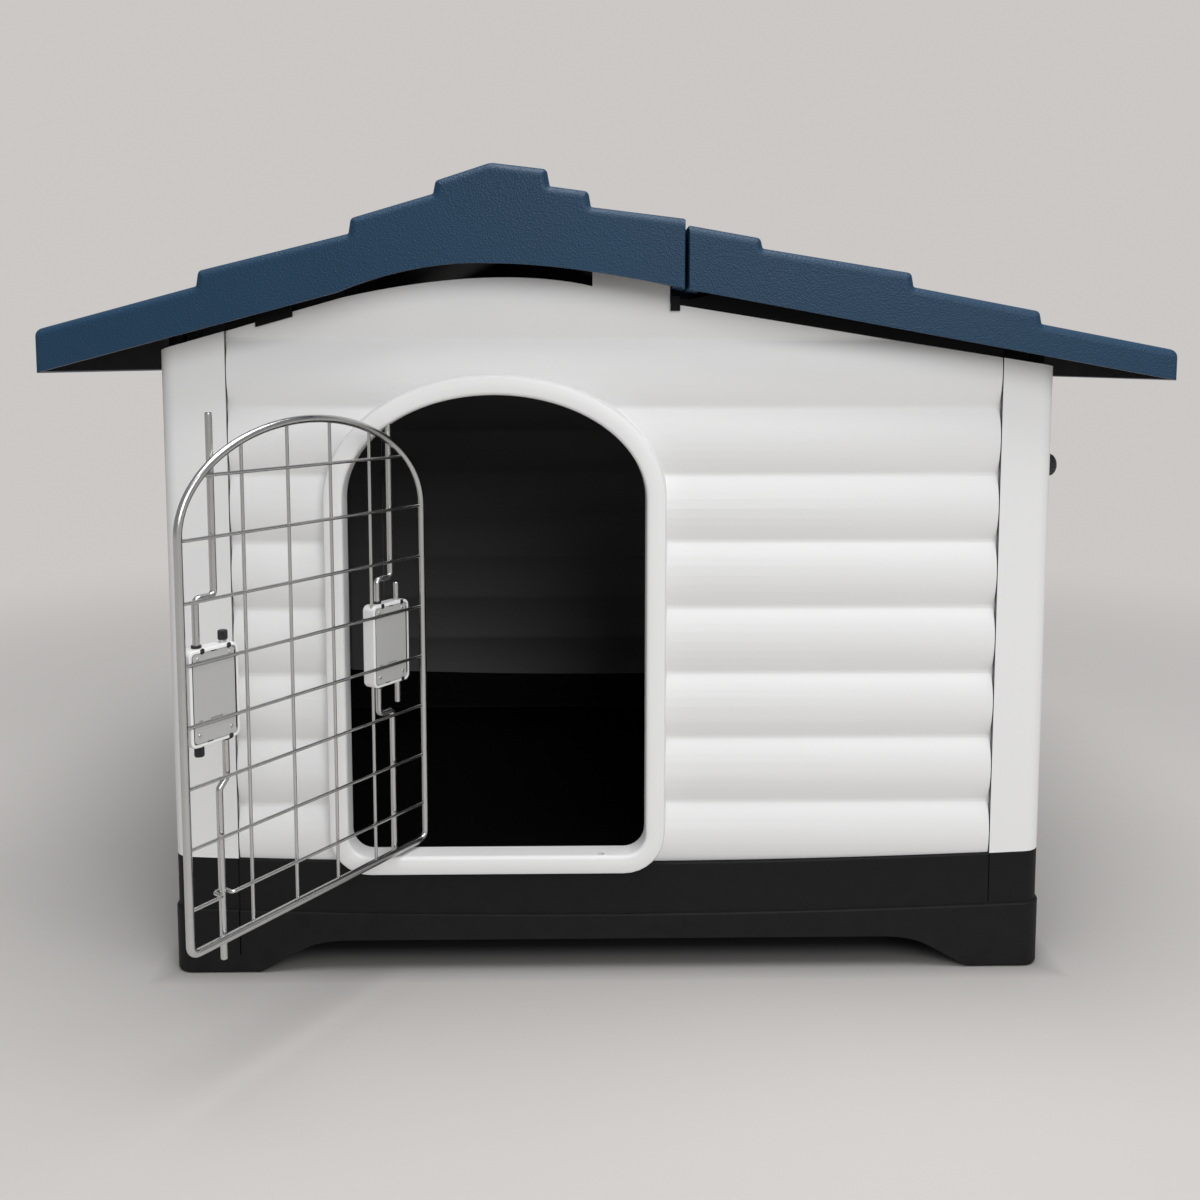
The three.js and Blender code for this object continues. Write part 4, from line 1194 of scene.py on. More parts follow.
@dataclass
class GableWalls:
    """The front wall, with its doorway and raised surround, and the plain back wall."""

    shape: HouseShape
    logs: LogPattern
    doorway: Opening
    tongue: float = 22.0
    joint: float = 0.8
    low: float = 91.0
    sheet_back: float = 11.0
    surround: tuple[tuple[float, float], ...] = (
        (0.0, 11.0), (0.0, -7.0), (0.4, -8.5), (1.3, -9.5), (3.0, -10.0), (13.0, -10.0), (15.0, -9.3),
        (16.0, -7.6), (16.4, -2.0), (17.3, 1.0), (18.2, 5.0), (18.2, 9.0), (16.0, 11.0),
    )
    bolt_spacing: float = 173.4
    bolt_y: float = -4.6
    bore: float = 2.9
    pockets: tuple[tuple[float, float], ...] = ((90.5, 110.0), (404.0, 482.8))
    keeper: tuple[float, float, float] = (3.0, 7.0, 40.0)
    knob_z: float = 430.0

    def outline(self) -> Outline:
        """The sheet between the corner strips.

        Returns:
            Points in X and Z.
        """
        left, right = self.shape.seam_left + self.joint, self.shape.seam_right - self.joint
        top = [point for point in self.shape.top_points() if left < point[0] < right]
        return [
            (left, self.low),
            (right, self.low),
            (right, self.shape.top_height(right)),
            *top,
            (left, self.shape.top_height(left)),
        ]

    def tongues(self, place: Matrix) -> list[Piece]:
        """The ends of the wall that reach behind the corner strips, and the lug for the knob's cam.

        Args:
            place: Where the wall's own frame stands.

        Returns:
            The plain bodies to join.
        """
        made = []
        for x in (self.shape.seam_left, self.shape.seam_right):
            x0, x1 = x - self.tongue, x + self.tongue
            tops = [(x1, self.shape.top_height(x1)), (x0, self.shape.top_height(x0))]
            made.append(
                Maker.prism(
                    [(x0, self.low), (x1, self.low), *tops], self.shape.wall + GAP, self.sheet_back, place
                ),
            )
        thick, reach, height = self.keeper
        end = self.shape.seam_right + self.tongue
        z = (self.knob_z - height / 2, self.knob_z + height / 2)
        made.append(
            Maker.block((end - thick, end), (self.sheet_back - LAP, self.sheet_back + reach), z, place)
        )
        return made

    def seat(self) -> Piece:
        """The room that the base and its rim take.

        Returns:
            The body to cut away.
        """
        steps, reach = 24, self.shape.half + PAST
        rim = [(reach * (1 - 2 * i / steps), 0.0) for i in range(steps + 1)]
        line = [(x, self.shape.rim_height(x) + GAP) for x, _ in rim]
        return Maker.prism([(-reach, -PAST), (reach, -PAST), *line], -GAP, self.shape.depth + GAP)

    def build(self, name: str, place: Matrix, front: bool, kit: Kit) -> None:
        """Makes and dresses one gable wall.

        Args:
            name: The piece's name.
            place: Where the wall's own frame stands.
            front: Whether it has the doorway.
            kit: The recipes and materials.
        """
        inward = Vector((0, 1 if front else -1, 0))
        loops = [self.outline()] + ([self.doorway.grown(9.0).points(head_steps=40)] if front else [])
        wall = ruled_sheet(name, loops, self.logs.rows(), self.shape.wall, place)
        weigh(wall, 1.0)
        self.logs.press(wall, kit, inward)
        Maker.add(wall, *self.tongues(place))
        if front:
            rings = [upright_ring(self.doorway.grown(by).points(), y) for by, y in self.surround]
            Maker.add(wall, Maker.loft("surround", rings, place, around=True))
            for x in (-0.5, 0.5):
                for z0, z1 in self.pockets:
                    Maker.cut(
                        wall,
                        Maker.post(
                            self.doorway.centre + x * self.bolt_spacing, self.bolt_y, self.bore, z0, z1
                        ),
                    )
        Maker.cut(wall, self.seat())

        def sort(middle: Vector, normal: Vector) -> Lining:
            """Painted shade: inside faces are dark grey, and those beside the corner strips black."""
            deep = middle.y if front else self.shape.depth - middle.y
            beside = not self.shape.seam_left < middle.x - self.joint < self.shape.seam_right - 2 * self.joint
            if normal.y * inward.y > 0.3 and deep > 3.0:
                return Lining.INNER
            return Lining.GAP if beside else Lining.OUTER

        line_wall(wall, kit, sort)
        Maker.dress(wall, Body.HOUSE, Slot.WHITE, kit.wall, ["front_wall" if front else "back_wall"])


@dataclass(frozen=True)
class Station:
    """One upright section of a side wall: its place in plan, its outward direction and its log weight."""

    x: float
    y: float
    out_x: float
    out_y: float
    weight: float = 0.0


@dataclass
class SideWalls:
    """The left and right walls, with the smooth corner strips that wrap round to front and back."""

    shape: HouseShape
    logs: LogPattern
    side_strip: float = 50.0
    overhang: float = 30.0
    fade: float = 1.6
    arc_steps: int = 8

    def stations(self, strip: float) -> list[Station]:
        """The wall's path in plan, from the front strip's inner edge round to the back one's.

        Args:
            strip: Width of the corner strips on the front and back.

        Returns:
            The sections in order, with X measured outwards.
        """
        half, radius = self.shape.half, self.shape.corner
        turn = half - radius
        made = [Station(x, 0, 0, -1) for x in (half - strip, half - strip + 12, (half - strip + turn) / 2)]
        for i in range(self.arc_steps + 1):
            angle = math.pi / 2 * i / self.arc_steps
            out_x, out_y = math.sin(angle), -math.cos(angle)
            made.append(Station(turn + radius * out_x, radius + radius * out_y, out_x, out_y))
        start, step = self.side_strip, self.fade
        places = [
            (self.overhang - 0.2, 0.0), (self.overhang + 0.2, 0.0), (start, 0.0), (start + step / 2, 0.6),
            (start + step, 1.0),
        ]
        places += [(start + step + (self.shape.depth / 2 - start - step) * i / 8, 1.0) for i in range(1, 8)]
        made += [Station(half, y, 1, 0, weight) for y, weight in places]
        mirrored = [
            Station(s.x, self.shape.depth - s.y, s.out_x, -s.out_y, s.weight) for s in reversed(made)
        ]
        return [*made, Station(half, self.shape.depth / 2, 1, 0, 1.0), *mirrored]

    def top(self, station: Station, side: int, roof: float) -> float:
        """Height of the wall's top edge at a station.

        Args:
            station: The upright section.
            side: -1 for the left wall and 1 for the right one.
            roof: Height of the wall under the roof.

        Returns:
            The height.
        """
        near = min(station.y, self.shape.depth - station.y)
        if near < self.overhang and abs(station.x) >= self.shape.half - 0.01:
            return self.shape.top_left if side < 0 else self.shape.top_right
        return roof if near >= self.overhang else self.shape.top_height(side * station.x)

    def build(self, node: str, side: int, strip: float, body: Body, kit: Kit) -> None:
        """Makes and dresses one side wall.

        Args:
            node: The CAD node that it stands for.
            side: -1 for the left wall and 1 for the right one.
            strip: Width of its corner strips.
            body: The body that it rides on.
            kit: The recipes and materials.
        """
        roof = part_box(node)[1].z / MM
        rings: Rings = []
        stations = self.stations(strip)
        for s in stations:
            low = self.shape.rim_height(s.x) + GAP
            high = self.top(s, side, roof)
            rows = [min(max(z, low), high) for z in self.logs.rows()]
            rows = [low, *rows[1:-1], high]
            inner_x, inner_y = s.x - self.shape.wall * s.out_x, s.y - self.shape.wall * s.out_y
            outer = [(side * s.x, s.y, z) for z in rows]
            inner = [(side * inner_x, inner_y, z) for z in reversed(rows)]
            rings.append(outer + inner)
        wall = Maker.loft(f"log_{node}", rings)
        weigh(wall, self.weights(wall, stations, side))
        inward = Vector((-side, 0, 0))
        self.logs.press(wall, kit, inward)

        def sort(middle: Vector, normal: Vector) -> Lining:
            """Painted shade: inside faces are dark grey, and the ends that rise between the roof's faces
            black.
            """
            near = min(middle.y, self.shape.depth - middle.y)
            into = normal.y if middle.y < self.shape.depth / 2 else -normal.y
            behind_side = normal.x * inward.x > 0.3 and abs(middle.x) < self.shape.half - 3.0
            if behind_side or (3.0 < near < 12.0 and into > 0.3):
                return Lining.INNER
            above = middle.z > (self.shape.top_left if side < 0 else self.shape.top_right)
            return Lining.GAP if above and abs(normal.y) > 0.7 and near > 20.0 else Lining.OUTER

        line_wall(wall, kit, sort)
        Maker.dress(wall, body, Slot.WHITE, kit.wall, [node])

    def weights(self, wall: Piece, stations: Sequence[Station], side: int) -> list[float]:
        """The log weight of each corner, by its place along the side.

        Args:
            wall: The wall.
            stations: Its upright sections.
            side: -1 for the left wall and 1 for the right one.

        Returns:
            The weights.
        """
        known = sorted((s.y, s.weight) for s in stations if s.out_x == 1)
        made = []
        for corner in wall.data.vertices:
            y = corner.co.y / MM - HOUSE_FRONT
            on_side = side * corner.co.x / MM > self.shape.half - self.shape.wall - 0.5
            made.append(interpolate(known, y) if on_side else 0.0)
        return made


def interpolate(known: Sequence[tuple[float, float]], at: float) -> float:
    """The value at a place, between sorted pairs of place and value.

    Args:
        known: The pairs.
        at: The place.

    Returns:
        The value.
    """
    if at <= known[0][0] or at >= known[-1][0]:
        return known[0][1] if at <= known[0][0] else known[-1][1]
    for (a, first), (b, second) in zip(known, known[1:]):
        if a <= at <= b:
            return first + (second - first) * ((at - a) / (b - a) if b > a else 1.0)
    return 0.0


@dataclass
class RoofClip:
    """A black clip over a gable wall's top edge, which holds the main roof panel."""

    shape: HouseShape
    x: float = -272.0
    half_width: float = 15.0
    above: float = 8.0
    below: float = 4.2
    thickness: float = 2.5
    reach: float = 2.2

    def band(self, low: float, high: float) -> Outline:
        """A strip along the wall's sloping top edge, between two offsets from it.

        Args:
            low: Offset of its lower edge.
            high: Offset of its upper edge.

        Returns:
            Points in X and Z.
        """
        ends = (self.x - self.half_width, self.x + self.half_width)
        rising = [(x, self.shape.top_height(x) + low) for x in ends]
        return rising + [(x, self.shape.top_height(x) + high) for x in reversed(ends)]

    def build(self, node: str, place: Matrix, kit: Kit) -> None:
        """Makes and dresses one clip.

        Args:
            node: The CAD node that it stands for.
            place: Where the wall's own frame stands.
            kit: The recipes and materials.
        """
        made = Maker.prism(self.band(-self.below, self.above), -GAP - self.thickness, -GAP, place)
        Maker.add(made, Maker.prism(self.band(GAP, self.above), -GAP - LAP, self.reach, place))
        Maker.bevel(made, 0.5)
        made.name = f"hooked_{node}"
        Maker.dress(made, Body.HOUSE, Slot.BLACK, kit.trim, [node], flat_faced=True)


# ---- Base ----


@dataclass
class Base:
    """The black tray: plinth, sagging rim, floor and four feet with arched gaps between them."""

    shape: HouseShape
    proud: float = BASE_PROUD
    plinth: float = 57.0
    plinth_dip: float = 8.0
    wall: float = 6.0
    floor: float = 46.0
    floor_thickness: float = 4.0
    foot: tuple[float, float] = (70.0, 60.0)
    side_foot: float = 68.0
    arch_run: float = 82.0
    arch_height: float = 28.0
    inside_from: float = 5.3

    def plan(self, by: float) -> Outline:
        """The body's outline in plan, moved inwards, with corners along its straight sides.

        Args:
            by: How far inwards.

        Returns:
            Points in X and Y.
        """
        half, depth, radius = self.shape.half - by, self.shape.depth - by, self.shape.corner - by
        loop = rounded_rectangle(-half, half, by, depth, radius)
        made: Outline = []
        for here, after in zip(loop, loop[1:] + loop[:1]):
            made.append(here)
            steps = 28 if math.dist(here, after) > 100 else 1
            made += [
                (here[0] + (after[0] - here[0]) * i / steps, here[1] + (after[1] - here[1]) * i / steps)
                for i in range(1, steps)
            ]
        return made

    def sag(self, x: float) -> float:
        """How far the plinth's top edge sags at a place across the tray."""
        return self.plinth_dip * max(0.0, 1 - (x / self.shape.half) ** 2)

    def rings(self) -> Rings:
        """The tray's skin, from under the floor out round the rim and in to the floor.

        Returns:
            The rings.
        """
        made: Rings = []
        under = self.floor - self.floor_thickness
        for by, z in (
            (self.wall, under), (self.wall - 0.5, 1.0), (self.wall - 1.5, 0.0), (0.6, 0.0), (-1.1, 0.6),
            (-self.proud, 2.4),
        ):
            made.append(level_ring(self.plan(by), z))
        for by, z in ((-self.proud, -1.6), (-1.5, -0.4), (-0.6, 0.0), (0.0, 0.1)):
            made.append([(x, y, self.plinth - self.sag(x) + z) for x, y in self.plan(by)])
        for by, z in (
            (0.0, -1.4), (0.4, -0.4), (1.4, 0.0), (self.wall - 1.2, 0.0), (self.wall - 0.3, -0.4),
            (self.wall, -1.4),
        ):
            made.append([(x, y, self.shape.rim_height(x) + z) for x, y in self.plan(by)])
        for by, z in (
            (self.wall, self.floor + 2.5), (self.wall + 0.7, self.floor + 0.7), (self.wall + 2.5, self.floor)
        ):
            made.append(level_ring(self.plan(by), z))
        return made

    def arch(self, length: float, feet: tuple[float, float]) -> Outline:
        """The gap between two feet of given lengths, as an outline to cut away.

        Args:
            length: Length of the tray's side.
            feet: Lengths of its two feet.

        Returns:
            The outline.
        """
        run, height = self.arch_run, self.arch_height
        ends: list[Outline] = []
        for side, foot in zip((-1, 1), feet):
            reach = length / 2 - foot
            curve = [
                (reach, -1.0), (reach - run / 2, height * 0.7), (reach - run / 2, height),
                (reach - run, height),
            ]
            ends.append(bezier([(side * x, z) for x, z in curve], 14))
        return [*ends[1], *reversed(ends[0])]

    def build(self, kit: Kit) -> None:
        """Makes and dresses the tray.

        Args:
            kit: The recipes and materials.
        """
        tray = Maker.loft("footed_tray", self.rings())
        tray.data.materials.append(kit.base)
        # Painted shade: faces inside the tray above its floor take the darker black of the second material.
        tray.data.materials.append(kit.trim)
        half, middle = self.shape.half - self.inside_from, self.shape.depth / 2
        back = HOUSE_PLACE.inverted()
        for face in tray.data.polygons:
            at = back @ face.center
            inner = abs(at.x) < half and abs(
                at.y - middle
            ) < middle - self.inside_from and at.z > self.floor - 1
            face.material_index = int(inner)
        length, depth = 2 * (self.shape.half + self.proud), self.shape.depth + 2 * self.proud
        Maker.cut(tray, Maker.prism(self.arch(length, self.foot), -PAST, self.shape.depth + PAST))
        gap = self.arch(depth, (self.side_foot, self.side_foot))
        ends = [
            [(x, y + middle, z) for y, z in gap] for x in (-self.shape.half - PAST, self.shape.half + PAST)
        ]
        Maker.cut(tray, Maker.loft("side_gap", ends))
        for x, low in ((self.shape.seam_left, 16.0), (self.shape.seam_right, self.plinth)):
            Maker.cut(tray, Maker.block((x - 0.5, x + 0.5), (-PAST, 1.2), (low, self.shape.rim + PAST)))
        Maker.dress(tray, Body.HOUSE, Slot.BLACK, kit.base, ["base_tray"], smooth=50.0, flat_faced=True)


# ---- Roof ----


@dataclass(frozen=True)
class Slope:
    """One stretch of the roof's upper surface, laid in courses."""

    start: tuple[float, float]
    end: tuple[float, float]
    courses: tuple[tuple[float, float, float], ...]
    step: float = 2.0
    lip: float = 4.6
    foot: float = 2.0

    def corners(self) -> list[tuple[tuple[float, float], float]]:
        """The slope's inner corners, each with its rounding.

        Returns:
            Pairs of a corner and its rounding.
        """
        (x0, z0), (x1, z1) = self.start, self.end
        rising = z1 > z0
        made = []
        for run, before, after in self.courses:
            x = x0 + (x1 - x0) * run
            made.append(((x, z0 + (z1 - z0) * before), self.foot if rising else self.lip))
            made.append(((x + self.step, z0 + (z1 - z0) * after), self.lip if rising else self.foot))
        return made


@dataclass
class Roof:
    """The main panel over the left slope and the ridge, and the flap that opens with the right wall."""

    half: float = 452.5
    front: float = -30.0
    back: float = 630.0
    skin: float = 5.0
    seam_x: float = 59.5
    seam_gap: float = 2.0
    rib: float = 10.0
    edge: float = 7.0
    low: float = 458.0
    eave_left: float = 542.0
    eave_right: float = 526.0
    eave_low_left: float = 508.0
    eave_low_right: float = 502.0
    ridge: tuple[float, float] = (-94.5, 672.0)
    seam_left: float = 629.0
    seam_right: float = 624.0
    vent_half: float = 121.0
    fascia_vent: float = 571.0
    fascia_shoulder: float = 596.0
    fascia_arch: float = 594.0
    fascia_seam: float = 574.0
    hinge_setback: float = 110.0
    knuckle: float = 4.6
    knuckle_length: float = 24.0
    pin: float = 1.8

    def slopes(self) -> tuple[Slope, Slope, Slope]:
        """The left slope, the short slope right of the ridge, and the flap's slope.

        Returns:
            The three slopes.
        """
        left = Slope(
            (-self.half, self.eave_left),
            self.ridge,
            ((0.353, 0.262, 0.354), (0.688, 0.577, 0.669), (0.874, 0.815, 0.892)),
        )
        right = Slope(
            self.ridge, (self.seam_x, self.seam_left), ((0.286, 0.116, 0.419), (0.497, 0.512, 0.791))
        )
        flap = Slope(
            (self.seam_x, self.seam_right), (self.half, self.eave_right),
            ((0.148, 0.102, 0.184), (0.454, 0.378, 0.49), (0.716, 0.684, 0.786)),
        )
        return left, right, flap

    def outline(self, flap: bool, by: float = 0.0) -> Outline:
        """A panel's closed outline, clockwise from its lower left corner.

        Args:
            flap: Whether it is the flap.
            by: How far its top edge lies inside the full outline. The ends move less.

        Returns:
            The outline, with the same number of points for every inset.
        """
        left, right, far = self.slopes()
        seam = self.seam_x + (1 if flap else -1) * self.seam_gap / 2
        if flap:
            corners = [((seam, self.low), 0.0), ((seam, self.seam_right), 2.0), *far.corners()]
            corners += [((self.half, self.eave_right), 7.0), ((self.half, self.low), 0.0)]
        else:
            corners = [((-self.half, self.low), 0.0), ((-self.half, self.eave_left), 7.0), *left.corners()]
            corners += [
                (self.ridge, 16.0), *right.corners(), ((seam, self.seam_left), 2.0), ((seam, self.low), 0.0)
            ]
        shares = [
            self.end_share(corners[0][0][0]), *[1.0] * (len(corners) - 3), self.end_share(corners[-1][0][0])
        ]
        points = [Vector(point) for point, _ in corners]
        sides = list(zip(points, points[1:], shares))
        moved = []
        for start, end, share in sides:
            along = (end - start).normalized()
            step = Vector((along.y, -along.x)) * by * share
            moved.append((start + step, end + step))
        made = [(moved[0][0].x, moved[0][0].y)]
        radii = [0.0]
        for (a, b), (c, d), (_, radius) in zip(moved, moved[1:], corners[1:]):
            turn = (b - a).cross(d - c)
            crossing = a + (b - a) * ((c - a).cross(d - c) / turn)
            made.append((crossing.x, crossing.y))
            radii.append(max(0.3, radius - by) if turn < 0 else radius + by)
        made.append((moved[-1][1].x, moved[-1][1].y))
        return rounded_line(made, [*radii, 0.0])

    def end_share(self, x: float) -> float:
        """How much of the rounding an upright end gets: little at the seam, more at an eave."""
        return 0.6 if abs(x) > self.half - 1 else 0.18

    def ceiling(self) -> Outline:
        """The underside of the skin, closed far below.

        Returns:
            Points in X and Z.
        """
        left, right, far = self.slopes()
        inner = self.half - self.skin
        line = [(-inner, self.eave_left)]
        for slope in (left, right, far):
            steps = [point for point, _ in slope.corners()]
            line += [(a[0], min(a[1], b[1])) for a, b in zip(steps[::2], steps[1::2])]
            line.append((slope.end[0], slope.end[1] + self.skin / 2) if slope is left else slope.end)
        line[-1] = (inner, self.eave_right)
        line = [(x, z - self.skin) for x, z in line]
        seam = next(i for i, (x, _) in enumerate(line) if x == self.seam_x)
        line[seam] = (self.seam_x, self.seam_right - self.skin)
        return [*line, (inner, 0.0), (-inner, 0.0)]

    def below_fascia(self) -> Outline:
        """Everything under the arched lower edge of the front and back faces.

        Returns:
            Points in X and Z.
        """
        x, vent = self.ridge[0], self.vent_half
        arch = bezier(
            [(x - vent, self.fascia_vent), (x - vent / 2, self.fascia_shoulder), (x, self.fascia_arch)], 14
        )
        arch += bezier(
            [(x, self.fascia_arch), (x + vent / 2, self.fascia_arch), (self.seam_x, self.fascia_seam)], 14
        )[1:]
        wide = self.half + PAST
        left = self.eave_low_left - PAST * (self.fascia_vent - self.eave_low_left) / (x - vent + self.half)
        right = self.eave_low_right - PAST * (
            self.fascia_seam - self.eave_low_right
        ) / (self.half - self.seam_x)
        return [(-wide, 0.0), (-wide, left), *arch, (wide, right), (wide, 0.0)]

    def axial(self, radius: float, y0: float, y1: float) -> Piece:
        """A round bar on the hatch's axis, for cutting and joining."""
        return Maker.prism(circle(self.seam_x, self.seam_left - 1, radius, 28), y0, y1)

    def panel(self, name: str, flap: bool, kit: Kit) -> Piece:
        """One hollow panel with its hinge knuckles.

        Args:
            name: The piece's name.
            flap: Whether it is the flap.
            kit: The recipes and materials.

        Returns:
            The undressed panel.
        """
        radius, steps = self.edge, 7
        rings: Rings = []
        for i in range(steps + 1):
            angle = math.pi / 2 * i / steps
            outline = self.outline(flap, radius * (1 - math.sin(angle)))
            rings.append(upright_ring(outline, self.front + radius * (1 - math.cos(angle))))
        rings += [[(x, self.back + self.front - y, z) for x, y, z in ring] for ring in reversed(rings)]
        made = Maker.loft(name, rings)
        made.data.materials.append(kit.roof)
        Maker.cut(made, Maker.prism(self.below_fascia(), -PAST - PAST, self.back + PAST))
        hollow = Maker.prism(self.ceiling(), self.front + self.skin, self.back - self.skin)
        # Painted shade: the hollow's faces, which become the panel's underside, are black.
        hollow.data.materials.append(kit.trim)
        span = (self.seam_x + self.rib, self.half) if flap else (-self.half, self.seam_x - self.rib)
        Maker.combine(
            hollow, [Maker.block(span, (self.front, self.back), (-PAST, 2 * self.low))], "INTERSECT"
        )
        Maker.cut(made, hollow)
        for spot in (self.front + self.hinge_setback, self.back - self.hinge_setback):
            own = spot + (self.knuckle_length if flap else 0.0)
            other = spot + (0.0 if flap else self.knuckle_length)
            Maker.cut(
                made,
                self.axial(self.knuckle + 2 * GAP, other - GAP / 2, other + self.knuckle_length + GAP / 2),
            )
            Maker.add(made, self.axial(self.knuckle, own + GAP / 2, own + self.knuckle_length - GAP / 2))
            Maker.cut(
                made,
                self.axial(
                    self.pin + GAP, spot - self.pin - GAP, spot + 2 * self.knuckle_length + self.pin + GAP
                ),
            )
        return made

    def build(self, kit: Kit) -> None:
        """Makes and dresses both panels.

        Args:
            kit: The recipes and materials.
        """
        for node, flap, body in (("roof_main", False, Body.HOUSE), ("roof_flap", True, Body.HATCH)):
            panel = self.panel(f"coursed_{node}", flap, kit)
            Maker.dress(panel, body, Slot.BLUE, kit.roof, [node], smooth=40.0, flat_faced=True)


# ---- Knobs ----


@dataclass
class Knob:
    """A turn knob in the right wall: fluted dome, shaft and the cam behind the wall."""

    shape: HouseShape
    radius: float = 10.0
    height: float = 10.0
    z: float = 430.0
    inset: float = 24.0
    shaft: float = 4.0
    cam_x: float = 336.7
    cam: tuple[float, float, float] = (5.0, 8.0, 11.0)
    flutes: int = 20
    flute_depth: float = 0.55

    def profile(self) -> list[tuple[float, float, float]]:
        """Rings from the shaft's end to the dome: distance out of the wall, radius and flute depth.

        Returns:
            The rings, from inside to outside.
        """
        deep, out = self.flute_depth, self.shape.half + GAP
        dome = [
            (0.0, 0.88, 0.0), (0.05, 0.97, 0.0), (0.10, 1.0, 0.0), (0.16, 1.0, 0.4), (0.22, 0.98, 1.0),
            (0.45, 0.95, 1.0),
        ]
        dome += [
            (0.62, 0.88, 1.0), (0.75, 0.76, 0.9), (0.86, 0.6, 0.6), (0.94, 0.4, 0.25), (0.985, 0.2, 0.0),
            (1.0, 0.06, 0.0),
        ]
        stem = [(self.cam_x, self.shaft, 0.0), (out, self.shaft, 0.0)]
        return stem + [
            (out + share * self.height, size * self.radius, deep * flute) for share, size, flute in dome
        ]

    def build(self, node: str, y: float, body: Body, kit: Kit) -> None:
        """Makes and dresses one knob.

        Args:
            node: The CAD node that it stands for.
            y: Where it stands along the wall.
            body: The body that it rides on.
            kit: The recipes and materials.
        """
        sides = self.flutes * 6
        rings: Rings = []
        for x, radius, depth in self.profile():
            ring = []
            for i in range(sides):
                angle = 2 * math.pi * i / sides
                size = radius - depth * (0.5 - 0.5 * math.cos(self.flutes * angle))
                ring.append((x, y + size * math.cos(angle), self.z + size * math.sin(angle)))
            rings.append(ring)
        made = Maker.loft(f"fluted_{node}", rings)
        thick, width, reach = self.cam
        Maker.add(
            made,
            Maker.block(
                (self.cam_x, self.cam_x + thick), (y - width / 2, y + width / 2),
                (self.z - width / 2, self.z + reach),
            ),
        )
        Maker.dress(made, body, Slot.BLACK, kit.cap, [node])


# ---- Door ----


@dataclass(frozen=True)
class Latch:
    """One latch: where its bolts stand and how their legs run in the case."""

    side: str
    x: float
    turned: bool
    upper_leg: int
    lower_leg: int
    upper_crank: float
    lower_crank: float
    upper_tail: float
    lower_tail: float


